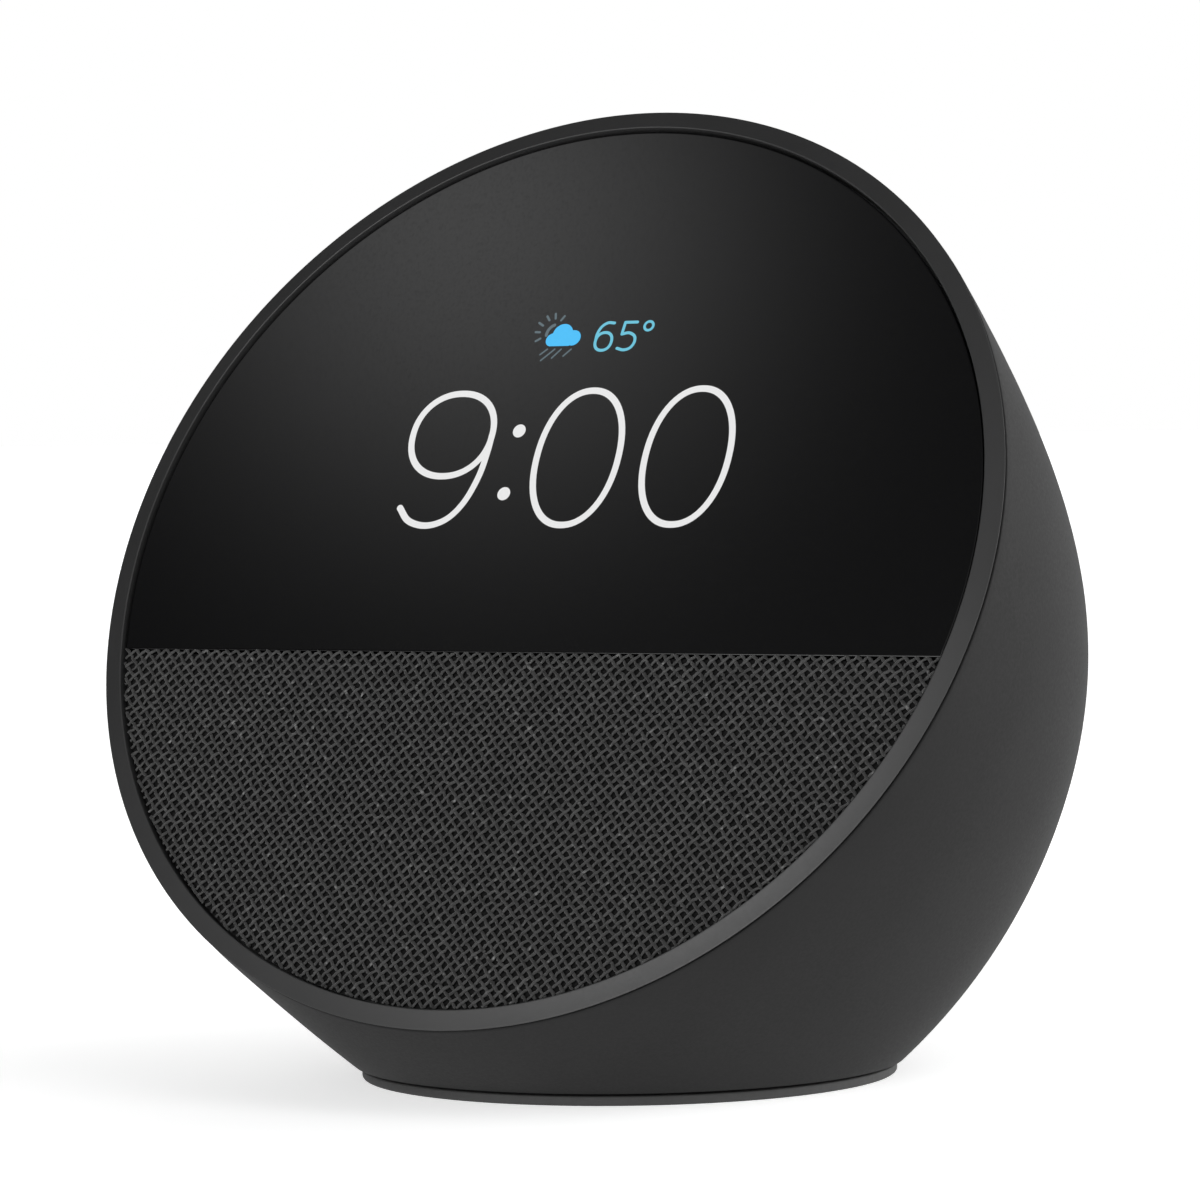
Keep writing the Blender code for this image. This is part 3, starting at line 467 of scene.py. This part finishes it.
def shell_section(angle):
    """One closed outline through the shell's wall."""
    samples = np.linspace(0, 1, 400)
    line = dome(angle, samples)
    total = travelled(line)[-1]
    edge, foot_edge = 0.22, 0.3
    outer = at_lengths(line, np.linspace(edge, total - foot_edge, SHELL_STATIONS))
    down = unit(line[1] - line[0])
    inward = -dome_normal(angle, 0.0)[0]
    front = quarter(line[0], down, inward, edge)[::-1]
    level = np.array((math.sin(angle), -math.cos(angle), 0))
    up = unit(line[-2] - line[-1])
    foot = quarter(line[-1], up, -level, foot_edge)
    centre = np.array((0, BASE_CENTRE_Y, 0))
    steps = (
        (RECESS_RADIUS, SHELL_FOOT_HEIGHT),
        (RECESS_RADIUS, FLANGE_LOW),
        (FLANGE_BORE, FLANGE_LOW),
        (FLANGE_BORE, FLANGE_HIGH),
    )
    bottom = np.array([centre + radius * level + (0, 0, height) for radius, height in steps])
    walls = np.interp(travelled(line), RIM_REBATE, (WALL_AT_RIM, WALL))[:, None]
    inner = line - walls * dome_normal(angle, samples)
    inner = inner[: int(np.argmax(inner[:, 2] < FLANGE_HIGH))]
    inner = at_lengths(inner, np.linspace(0, travelled(inner)[-1], 26))
    return np.concatenate((front, outer[1:-1], foot, bottom, inner[::-1]))


def surface_frame(angle, t):
    """The dome's point and three axes there, Z outwards."""
    point = dome(angle, t)[0]
    turn = Vector(dome_normal(angle, t)[0]).to_track_quat("Z", "Y").to_matrix()
    return point, np.array(turn)


def surface_height(angle, t, axes, point):
    """The dome's height over a frame's own XY plane near its origin, as a function of x and y."""
    samples = []
    for turn in np.linspace(-0.16, 0.16, 15):
        samples.append(dome(angle + turn, np.linspace(0.0, 0.14, 15)))
    local = (np.concatenate(samples) - point) @ axes
    local = local[np.hypot(local[:, 0], local[:, 1]) < 7.0]
    x, y, z = local.T

    def terms(x, y):
        cubic = (x**3, x * x * y, x * y * y, y**3)
        return np.stack((np.ones_like(x), x, y, x * x, x * y, y * y, *cubic), axis=-1)

    values = np.linalg.lstsq(terms(x, y), z, rcond=None)[0]
    return lambda x, y: terms(np.asarray(x, float), np.asarray(y, float)) @ values


def cut(obj, tools):
    """Takes each tool's shape away with a Boolean, then deletes the tools."""
    for other in tools:
        modifier = obj.modifiers.new(other.name, "BOOLEAN")
        modifier.operation = "DIFFERENCE"
        modifier.solver = "EXACT"
        modifier.object = other
    graph = bpy.context.evaluated_depsgraph_get()
    mesh = bpy.data.meshes.new_from_object(obj.evaluated_get(graph))
    obj.modifiers.clear()
    obj.data = mesh
    for other in tools:
        bpy.data.objects.remove(other)
    mesh.set_sharp_from_angle(angle=math.radians(SHARP_ANGLE))


def rod(radius, low, high, sides=48):
    return lathe([(0, low), (radius, low), (radius, high), (0, high)], sides)


# ---- shell ----
def make_shell():
    sections = [shell_section(math.tau * index / SHELL_SIDES) for index in range(SHELL_SIDES)]
    faces = grid_faces(SHELL_SIDES, len(sections[0]), wrap_rows=True, wrap_columns=True)
    shell = add_piece(
        "dome_shell", np.concatenate(sections), faces, shell_plastic,
        replaces=["rear_shell"], crease=50,
    )
    tools = []
    for place in (1, 0, -1):
        point, axes = surface_frame(math.pi + place * BUTTON_SPREAD, BUTTON_BACK)
        verts, quads = rod(BUTTON_HOLE, -4.0, 2.0, 64)
        tools.append(closed_object(f"button_cut_{place}", to_world(verts, axes, point), quads))
    for place in (1, -1):
        point, axes = surface_frame(math.pi + place * MICROPHONE_SPREAD, BUTTON_BACK)
        verts, quads = rod(MICROPHONE_HOLE, -4.0, 1.0, 24)
        tools.append(closed_object(f"microphone_cut_{place}", to_world(verts, axes, point), quads))
    verts, quads = rod(INLET_WELL, INLET_MOUTH_Y - 1, INLET_MOUTH_Y + 20, 64)
    centre = np.array((0, 0, INLET_HEIGHT))
    tools.append(closed_object("well_cut", to_world(verts, ALONG_Y, centre), quads))
    cut(shell, tools)


# ---- the front ----
def make_rim():
    inner_edge, outer_edge, slope = 0.12, 0.06, math.radians(RIM_SLOPE)
    width = RIM_RADIUS - RIM_BORE
    drop = width * math.tan(slope)
    outline = arc((RIM_BORE + inner_edge, RIM_PROUD - inner_edge), inner_edge, 180, 90 - RIM_SLOPE)
    for share in (0.12, 0.9):
        outline.append((RIM_BORE + width * share, RIM_PROUD - drop * share))
    outline += arc((RIM_RADIUS - outer_edge, RIM_PROUD - drop - outer_edge), outer_edge, 90 - RIM_SLOPE, 0)
    low = RIM_PROUD - drop
    outline += [(RIM_RADIUS - 0.06, low - 0.14), (RIM_NECK, low - 0.2), (RIM_NECK, SKIRT_TOP)]
    outline += [(SKIRT_RADIUS, SKIRT_TOP), (SKIRT_RADIUS, RIM_BACK), (LEDGE_RADIUS, RIM_BACK)]
    outline += [(LEDGE_RADIUS, RIM_LEDGE), (RIM_BORE, RIM_LEDGE)]
    verts, faces = lathe(outline, RING_SIDES)
    add_piece(
        "front_ring", to_world(verts), faces, rim_plastic,
        replaces=["face_rim"], crease=40,
    )


def d_outline(radius, line, upper, steps=180):
    """The part of a disc above or below a level line, counter-clockwise."""
    start = math.asin(line / radius)
    if upper:
        angles = np.linspace(start, math.pi - start, steps + 1)
    else:
        angles = np.linspace(math.pi - start, math.tau + start, steps + 1)
    return np.stack((radius * np.cos(angles), radius * np.sin(angles)), axis=1)


def make_glass():
    edge = 0.08
    turns = np.linspace(math.pi / 2, 0, 5)
    rounds = [(edge * (1 - math.sin(a)), GLASS_FRONT - edge * (1 - math.cos(a))) for a in turns]
    levels = [(0.0, GLASS_BACK), *rounds, (edge + 0.1, GLASS_FRONT), (edge + 0.5, GLASS_FRONT)]
    verts, faces = layered(d_outline(GLASS_RADIUS, DIVIDE + 0.2, True), levels)
    add_piece("touch_glass", to_world(verts), faces, glass, replaces=["cover_glass"])


# ---- the cloth ----
def yarn(family, index, rng):
    """One yarn of the weave as (points, faces): a flat strand that passes over and under the others."""
    root = math.sqrt(0.5)
    along, across = np.array((root, root)), np.array((-root, root))
    if family:
        along, across = across, -along
    offset = index * YARN_PITCH
    radius, top = GLASS_RADIUS + 0.05, DIVIDE + 0.19
    if abs(offset) >= radius:
        return None
    reach = math.sqrt(radius**2 - offset**2)
    limit = (top - offset * across[1]) / along[1]
    squared = limit < reach
    low, high = -reach, min(reach, limit)
    if high - low < 0.6:
        return None
    step = YARN_PITCH / YARN_STEPS
    marks = np.arange(math.ceil(low / step), math.floor(high / step) + 1) * step
    u = np.concatenate(([low], marks[(marks > low + 0.05) & (marks < high - 0.05)], [high]))
    parity = index + (1 if family else 0)
    wave = YARN_WAVE * np.cos(math.pi * (u / YARN_PITCH + parity))
    drift = 0.05 * np.sin(u * 0.9 + rng.uniform(0, 6)) + 0.035 * rng.standard_normal(len(u))
    half = YARN_WIDTH / 2 * (1 + 0.12 * rng.standard_normal(len(u)))
    centre = u[:, None] * along + (offset + drift)[:, None] * across
    rows = []
    for side, lift in ((-1, 0), (0, 0.5), (1, 0), (0, -0.5)):
        flat = centre + side * half[:, None] * across
        if squared:
            flat[-1] -= along * side * half[-1] * across[1] / along[1]
        rows.append(np.column_stack((flat, CLOTH_LEVEL + wave + lift * YARN_DEPTH)))
    verts = np.stack(rows, axis=1).reshape(-1, 3)
    faces = grid_faces(len(u), 4, wrap_columns=True)
    last = len(verts) - 4
    faces += [(0, 1, 2, 3), (last + 3, last + 2, last + 1, last)]
    return verts, faces


def make_cloth():
    rng = np.random.default_rng(WEAVE_SEED)
    outline = d_outline(GLASS_RADIUS, DIVIDE - 0.2, False)
    base = CLOTH_LEVEL - CLOTH_LOFT
    verts, faces = layered(outline, [(0.0, base - 0.15), (0.0, base - 0.02), (0.05, base)])
    # a near-black backing sheet under the yarns: painted shade for the dark in the weave's holes
    cloth = add_piece(
        "grille_cloth", to_world(verts), faces, backing_cloth_painted_shade, replaces=["grille_fabric"]
    )
    # the rising yarns take the painted lighter copy and the falling yarns the painted darker copy of one yarn
    families = (("grille_yarns_rising", yarn_rising_painted_lit), ("grille_yarns_falling", yarn_falling_painted_shade))
    for family, (name, look) in enumerate(families):
        made = [yarn(family, index, rng) for index in range(-YARNS_EACH_SIDE, YARNS_EACH_SIDE + 1)]
        verts, faces = joined([one for one in made if one])
        add_piece(name, to_world(verts), faces, look, crease=180)


# ---- what the screen shows ----
SCREEN_TOP = GLASS_FRONT + 0.02
SCREEN_BOTTOM = GLASS_FRONT - 0.06


def smooth_path(points, steps=8, closed=False):
    """A Catmull-Rom curve through 2-D points."""
    points = np.asarray(points, float)
    if closed:
        ends = np.concatenate((points[-1:], points, points[:2]))
    else:
        ends = np.concatenate((2 * points[:1] - points[1:2], points, 2 * points[-1:] - points[-2:-1]))
    t = np.linspace(0, 1, steps, endpoint=False)[:, None]
    route = []
    for a, b, c, d in zip(ends, ends[1:], ends[2:], ends[3:]):
        bend = (2 * a - 5 * b + 4 * c - d) * t**2 + (3 * b - a - 3 * c + d) * t**3
        route.append(0.5 * (2 * b + (c - a) * t + bend))
    if not closed:
        route.append(points[-1:])
    return np.concatenate(route)


def superellipse(centre, width, height, power=2.2, start=0.0, stop=360.0, steps=72):
    """Points of a rounded loop, from one angle to another in degrees."""
    angles = np.radians(np.linspace(start, stop, steps + 1))
    cosine, sine = np.cos(angles), np.sin(angles)
    size = (np.abs(cosine) ** power + np.abs(sine) ** power) ** (-1 / power)
    points = np.stack((centre[0] + width / 2 * cosine * size, centre[1] + height / 2 * sine * size), axis=1)
    return points[:-1] if abs(stop - start) == 360 else points


def stroke(path, width, closed=False, top=SCREEN_TOP, bottom=SCREEN_BOTTOM):
    """A flat line of even width with round ends, as (points, faces).

    The top and bottom are each a height or a function of x and y.
    """
    path = np.asarray(path, float)
    if closed:
        along = unit(np.roll(path, -1, axis=0) - np.roll(path, 1, axis=0))
        half = np.full(len(path), width / 2)
    else:
        along = unit(np.gradient(path, axis=0))
        turns = np.radians((88, 60, 30))
        reach, narrow = np.sin(turns) * width / 2, np.cos(turns) * width / 2
        head = path[0] - along[0] * reach[:, None]
        tail = path[-1] + along[-1] * reach[::-1, None]
        path = np.concatenate((head, path, tail))
        half = np.concatenate((narrow, np.full(len(along), width / 2), narrow[::-1]))
        along = np.concatenate((np.repeat(along[:1], 3, axis=0), along, np.repeat(along[-1:], 3, axis=0)))
    across = np.stack((-along[:, 1], along[:, 0]), axis=1) * half[:, None]
    rows = []
    for side, level in ((1, top), (-1, top), (-1, bottom), (1, bottom)):
        flat = path + side * across
        height = level(flat[:, 0], flat[:, 1]) if callable(level) else np.full(len(flat), level)
        rows.append(np.column_stack((flat, height)))
    verts = np.stack(rows, axis=1).reshape(-1, 3)
    faces = grid_faces(len(path), 4, wrap_rows=closed, wrap_columns=True)
    if not closed:
        last = len(verts) - 4
        faces += [(0, 1, 2, 3), (last + 3, last + 2, last + 1, last)]
    return verts, faces


def disc(centre, radius, sides=28):
    angles = np.arange(sides) * math.tau / sides
    outline = np.stack((centre[0] + radius * np.cos(angles), centre[1] + radius * np.sin(angles)), axis=1)
    return layered(outline, [(0.0, SCREEN_BOTTOM), (0.0, SCREEN_TOP)])


def make_clock():
    weight = 0.8
    middle, height, width = 12.15, 16.8, 10.65
    zeros = [superellipse((x, middle), width, height, 2.15) for x in (2.0, 16.1)]
    strokes = [stroke(loop, weight, closed=True) for loop in zeros]
    bowl = superellipse((-15.3, 15.22), 10.65, 10.5, 2.15)
    strokes.append(stroke(bowl, weight, closed=True))
    tail = [(-10.0, 15.2), (-10.05, 12.9), (-10.4, 9.9), (-11.5, 6.7)]
    tail += [(-13.3, 4.55), (-15.8, 3.75), (-18.3, 4.35), (-19.9, 6.0)]
    strokes.append(stroke(smooth_path(tail), weight))
    strokes += [disc((-6.5, y), 0.82) for y in (15.6, 7.7)]
    verts, faces = joined(strokes)
    add_piece("clock_digits", to_world(verts), faces, white_light)


def cloud_outline(circles, steps=72):
    """The outer edge of overlapping circles, seen from a point inside them."""
    origin = np.array((-3.8, 27.2))
    points = []
    for angle in np.arange(steps) * math.tau / steps:
        way = np.array((math.cos(angle), math.sin(angle)))
        best = 0.0
        for x, y, radius in circles:
            offset = np.array((x, y)) - origin
            middle = offset @ way
            inside = radius**2 - (offset @ offset - middle**2)
            if inside > 0:
                best = max(best, middle + math.sqrt(inside))
        points.append(origin + best * way)
    points = np.array(points)
    points[:, 1] = np.maximum(points[:, 1], 26.35)
    return points


def make_weather():
    cloud = cloud_outline([(-3.9, 27.85, 1.32), (-5.1, 27.15, 0.84), (-2.4, 27.35, 0.98), (-3.9, 27.0, 1.3)])
    verts, faces = layered(cloud, [(0.0, SCREEN_BOTTOM), (0.0, SCREEN_TOP)])
    add_piece("weather_cloud", to_world(verts), faces, blue_light)
    weight = 0.36
    stem = [(2.62, 29.12), (1.8, 29.17), (1.08, 28.7), (0.7, 27.85), (0.66, 26.9)]
    shapes = [stroke(smooth_path(stem), weight)]
    shapes.append(stroke(superellipse((1.72, 26.8), 2.12, 2.26), weight, closed=True))
    belly = [(3.95, 27.68), (4.85, 27.82), (5.65, 27.37), (5.8, 26.6)]
    belly += [(5.4, 25.9), (4.6, 25.66), (3.72, 25.88)]
    shapes.append(stroke([(5.62, 29.17), (4.04, 29.17)], weight))
    shapes.append(stroke([(4.04, 29.17), (3.93, 27.68)], weight))
    shapes.append(stroke(smooth_path(belly), weight))
    shapes.append(stroke(superellipse((7.22, 28.65), 1.12, 1.12, 2.0, steps=36), 0.32, closed=True))
    verts, faces = joined(shapes)
    add_piece("temperature_digits", to_world(verts), faces, cyan_light)
    faint = [stroke(superellipse((-4.8, 27.9), 2.5, 2.5, 2.0, 112, 186, 16), 0.4)]
    rays = (
        ((-5.49, 30.52), (-5.34, 29.9)),
        ((-6.53, 30.22), (-6.12, 29.7)),
        ((-7.4, 29.4), (-6.8, 29.03)),
        ((-7.58, 28.22), (-7.0, 28.18)),
        ((-7.28, 27.05), (-6.74, 27.36)),
        ((-4.22, 30.18), (-4.55, 29.65)),
    )
    drops = (
        ((-5.45, 25.97), (-6.25, 25.3)),
        ((-4.47, 25.95), (-5.98, 24.54)),
        ((-3.62, 25.93), (-4.6, 24.82)),
        ((-2.3, 25.9), (-3.13, 25.05)),
    )
    faint += [stroke(ends, 0.28) for ends in rays] + [stroke(ends, 0.2) for ends in drops]
    verts, faces = joined(faint)
    add_piece("sun_and_rain", to_world(verts), faces, pale_light)


# ---- buttons ----
def cap_height(height, lift=0.0):
    """The height of a cap's dished, round-edged top over the dome, as a function of x and y."""
    def top(x, y):
        radius = np.hypot(x, y)
        past = np.maximum(radius - BUTTON_RADIUS + CAP_ROUNDING, 0)
        rounding = CAP_ROUNDING - np.sqrt(np.maximum(CAP_ROUNDING**2 - past**2, 0))
        return height(x, y) + CAP_PROUD - CAP_DISH * (1 - (radius / BUTTON_RADIUS) ** 2) - rounding + lift

    return top


def cap_shape(height):
    """A cap with its flange and stem, as (points, faces)."""
    top = cap_height(height)
    flange, low, stem = -WALL - 0.7, -WALL - 1.5, -WALL - 2.7
    angles = np.arange(CAP_SIDES) * math.tau / CAP_SIDES
    rings = []
    for radius in (0.7, 1.4, 2.1, 2.8, 3.4, 3.8, 3.95, 4.05, 4.12, 4.17, BUTTON_RADIUS):
        x, y = radius * np.cos(angles), radius * np.sin(angles)
        rings.append(np.column_stack((x, y, top(x, y))))
    below = (
        (BUTTON_RADIUS, flange),
        (FLANGE_RADIUS, flange),
        (FLANGE_RADIUS, low),
        (STEM_RADIUS, low),
        (STEM_RADIUS, stem),
    )
    for radius, z in below:
        level = np.full(CAP_SIDES, z)
        rings.append(np.column_stack((radius * np.cos(angles), radius * np.sin(angles), level)))
    verts = np.concatenate(rings)
    faces = grid_faces(len(rings), CAP_SIDES, wrap_columns=True)
    last = len(verts) - 1
    faces += [tuple(range(CAP_SIDES)), tuple(range(last, last - CAP_SIDES, -1))]
    return verts, faces


def mark_shape(place, height, right):
    """A raised mark, as (points, faces): a minus, a crossed ring or a plus."""
    raised, sunk = cap_height(height, MARK_RAISED), cap_height(height, MARK_SUNK)
    up = np.array((-right[1], right[0]))
    span = np.linspace(-MARK_REACH, MARK_REACH, 9)[:, None]
    if place == 0:
        ring = superellipse((0, 0), 1.9, 1.9, 2.0, steps=40)
        return joined([
            stroke(ring, 0.24, True, raised, sunk),
            stroke(span * unit(right + up), 0.24, False, raised, sunk),
        ])
    marks = [stroke(span * right, MARK_WIDTH, False, raised, sunk)]
    if place == -1:
        for side in (-1, 1):
            arm = side * np.linspace(0.16, MARK_REACH, 4)[:, None] * up
            marks.append(stroke(arm, MARK_WIDTH, False, raised, sunk))
    return joined(marks)


def make_buttons():
    rows = (
        (1, "volume_down", "volume_down_button"),
        (0, "microphone", "microphone_button"),
        (-1, "volume_up", "volume_up_button"),
    )
    for place, body, node_name in rows:
        angle = math.pi + place * BUTTON_SPREAD
        point, axes = surface_frame(angle, BUTTON_BACK)
        height = surface_height(angle, BUTTON_BACK, axes, point)
        verts, faces = cap_shape(height)
        add_piece(
            f"{body}_cap", to_world(verts, axes, point), faces, button_plastic,
            body=body, replaces=[node_name], crease=50,
        )
        around = (dome(angle - 0.01, BUTTON_BACK) - dome(angle + 0.01, BUTTON_BACK))[0] @ axes
        verts, faces = mark_shape(place, height, unit(around[:2]))
        add_piece(
            f"{body}_mark", to_world(verts, axes, point), faces, mark_plastic,
            body=body,
        )


# ---- foot and power inlet ----
def make_foot():
    edge = 0.35
    outline = [(0, 0.25), (22.0, 0.25), (22.6, 0), (27.6, 0), (28.0, 0.3), (28.8, 0.3), (29.2, 0)]
    outline += arc((FOOT_RADIUS - edge, edge), edge, -90, 0)
    outline += arc((FOOT_RADIUS - 0.2, FOOT_HEIGHT - 0.2), 0.2, 0, 90)
    outline += [(0, FOOT_HEIGHT)]
    verts, faces = lathe(outline, RING_SIDES)
    centre = np.array((0, BASE_CENTRE_Y, 0))
    add_piece(
        "foot_pad", verts + centre, faces, rubber,
        replaces=["base_foot"], crease=30,
    )


def make_inlet():
    centre = np.array((0, 0, INLET_HEIGHT))
    width, depth, height = INLET_SIZE
    corner = 0.8
    outline = []
    for turn, (sx, sy) in enumerate(((1, 1), (-1, 1), (-1, -1), (1, -1))):
        x, y = sx * (width / 2 - corner), sy * (height / 2 - corner)
        outline += arc((x, y), corner, turn * 90, turn * 90 + 90)
    back = INLET_MOUTH_Y - depth
    levels = [(0.3, back), (0.0, back + 0.3), (0.0, INLET_MOUTH_Y - 0.3), (0.3, INLET_MOUTH_Y)]
    verts, faces = layered(outline, levels)
    body = add_piece(
        "inlet_housing", to_world(verts, ALONG_Y, centre), faces, black_plastic,
        replaces=["power_inlet"],
    )
    mouth = [(0, back + 2.2), (INLET_BORE, back + 2.2), (INLET_BORE, INLET_MOUTH_Y - 0.4)]
    flared, past = INLET_BORE + 0.5, INLET_MOUTH_Y + 1
    mouth += [(flared, INLET_MOUTH_Y + 0.1), (flared, past), (0, past)]
    verts, faces = lathe(mouth, 64)
    cut(body, [closed_object("bore_cut", to_world(verts, ALONG_Y, centre), faces)])
    low, high = INLET_MOUTH_Y + 0.05, INLET_MOUTH_Y + 1.9
    collar = [(4.0, low), (5.35, low)] + arc((5.15, high - 0.2), 0.2, 0, 90) + [(4.7, high), (4.0, low + 0.9)]
    verts, faces = lathe(collar, 96)
    add_piece("inlet_collar", to_world(verts, ALONG_Y, centre), faces, black_plastic)


make_shell()
make_rim()
make_glass()
make_cloth()
make_clock()
make_weather()
make_buttons()
make_foot()
make_inlet()


# ---- floor, light and camera ----
FLOOR_SIZE = 40.0
FLOOR_GLOW = 0.57
SURROUND = 0.02
# soft lobes of light, as (azimuth, elevation, strength)
LOBE_SHARPNESS = 9.0
LOBES = [
    (0.0, 5.0, 8.0),
    (120.0, 5.0, 5.6),
    (140.0, 5.0, 2.6),
    (200.0, 22.0, 2.0),
    (180.0, 48.0, 0.35),
    (78.0, 42.0, 1.6),
]
# the small bright source that the glass mirrors, as (direction, width, strength)
SOFTBOX = (Vector((-0.526, -0.465, 0.712)).normalized(), 0.052, 1.43)


def direction(azimuth, elevation):
    """The way to a point seen from the object: azimuth 0 is in front of it and 90 to its right."""
    a, e = math.radians(azimuth), math.radians(elevation)
    return Vector((math.sin(a) * math.cos(e), -math.cos(a) * math.cos(e), math.sin(e)))


def make_floor():
    mesh = bpy.data.meshes.new("floor")
    corners = [(x * FLOOR_SIZE, y * FLOOR_SIZE, 0) for x, y in ((-1, -1), (1, -1), (1, 1), (-1, 1))]
    mesh.from_pydata(corners, [], [(0, 1, 2, 3)])
    floor = bpy.data.objects.new("floor", mesh)
    bpy.context.scene.collection.objects.link(floor)
    paper = moulded("floor_paper", (0.86, 0.86, 0.86), 0.9, grain=300, bump=0.05, variation=0.01)
    shader = paper.node_tree.nodes["Principled BSDF"]
    shader.inputs["Specular IOR Level"].default_value = 0.1
    shader.inputs["Emission Color"].default_value = (1, 1, 1, 1)
    shader.inputs["Emission Strength"].default_value = FLOOR_GLOW
    mesh.materials.append(paper)


def make_world():
    world = bpy.data.worlds.new("studio")
    bpy.context.scene.world = world
    world.use_nodes = True
    tree = world.node_tree
    tree.nodes.clear()

    def made(kind, *values, **settings):
        one = tree.nodes.new(kind)
        for key, value in settings.items():
            setattr(one, key, value)
        for index, value in enumerate(values):
            if isinstance(value, bpy.types.NodeSocket):
                tree.links.new(value, one.inputs[index])
            elif value is not None:
                one.inputs[index].default_value = value
        return one

    place = made("ShaderNodeTexCoord").outputs["Generated"]
    way = made("ShaderNodeVectorMath", place, operation="NORMALIZE").outputs["Vector"]
    total = SURROUND
    for azimuth, elevation, strength in LOBES:
        facing = made("ShaderNodeVectorMath", way, direction(azimuth, elevation), operation="DOT_PRODUCT")
        above = made("ShaderNodeMath", facing.outputs["Value"], 0.0, operation="MAXIMUM").outputs[0]
        lobe = made("ShaderNodeMath", above, LOBE_SHARPNESS, operation="POWER").outputs[0]
        total = made("ShaderNodeMath", lobe, strength, total, operation="MULTIPLY_ADD").outputs[0]
    centre, width, strength = SOFTBOX
    away = made("ShaderNodeVectorMath", way, centre, operation="DISTANCE").outputs["Value"]
    share = made("ShaderNodeMath", away, 1 / width, operation="MULTIPLY").outputs[0]
    square = made("ShaderNodeMath", share, share, operation="MULTIPLY").outputs[0]
    negative = made("ShaderNodeMath", square, -1.0, operation="MULTIPLY").outputs[0]
    bell = made("ShaderNodeMath", negative, operation="EXPONENT").outputs[0]
    total = made("ShaderNodeMath", bell, strength, total, operation="MULTIPLY_ADD").outputs[0]
    studio = made("ShaderNodeBackground", None, total)
    paper = made("ShaderNodeBackground", (1, 1, 1, 1), 1.0)
    seen = made("ShaderNodeLightPath").outputs["Is Camera Ray"]
    mixed = made("ShaderNodeMixShader", seen, studio.outputs[0], paper.outputs[0])
    made("ShaderNodeOutputWorld", mixed.outputs[0])


def make_camera():
    azimuth, elevation, roll = 30.38, 1.86, math.radians(-0.86)
    distance = 578.92
    target = Vector((6.0, -22.39, 54.8))
    back = direction(azimuth, elevation)
    right = Vector((math.cos(math.radians(azimuth)), math.sin(math.radians(azimuth)), 0))
    up = back.cross(right)
    turned_right = right * math.cos(roll) + up * math.sin(roll)
    turned_up = up * math.cos(roll) - right * math.sin(roll)
    data = bpy.data.cameras.new("camera")
    data.sensor_width = 36.0
    data.lens = 155.85
    data.clip_start, data.clip_end = 0.05, 200.0
    camera = bpy.data.objects.new("camera", data)
    bpy.context.scene.collection.objects.link(camera)
    place = (target + back * distance) * MM
    turn = Matrix((turned_right, turned_up, back)).transposed().to_4x4()
    camera.matrix_world = Matrix.Translation(place) @ turn
    bpy.context.scene.camera = camera


make_floor()
make_world()
make_camera()
bpy.context.scene.view_settings.view_transform = "Standard"
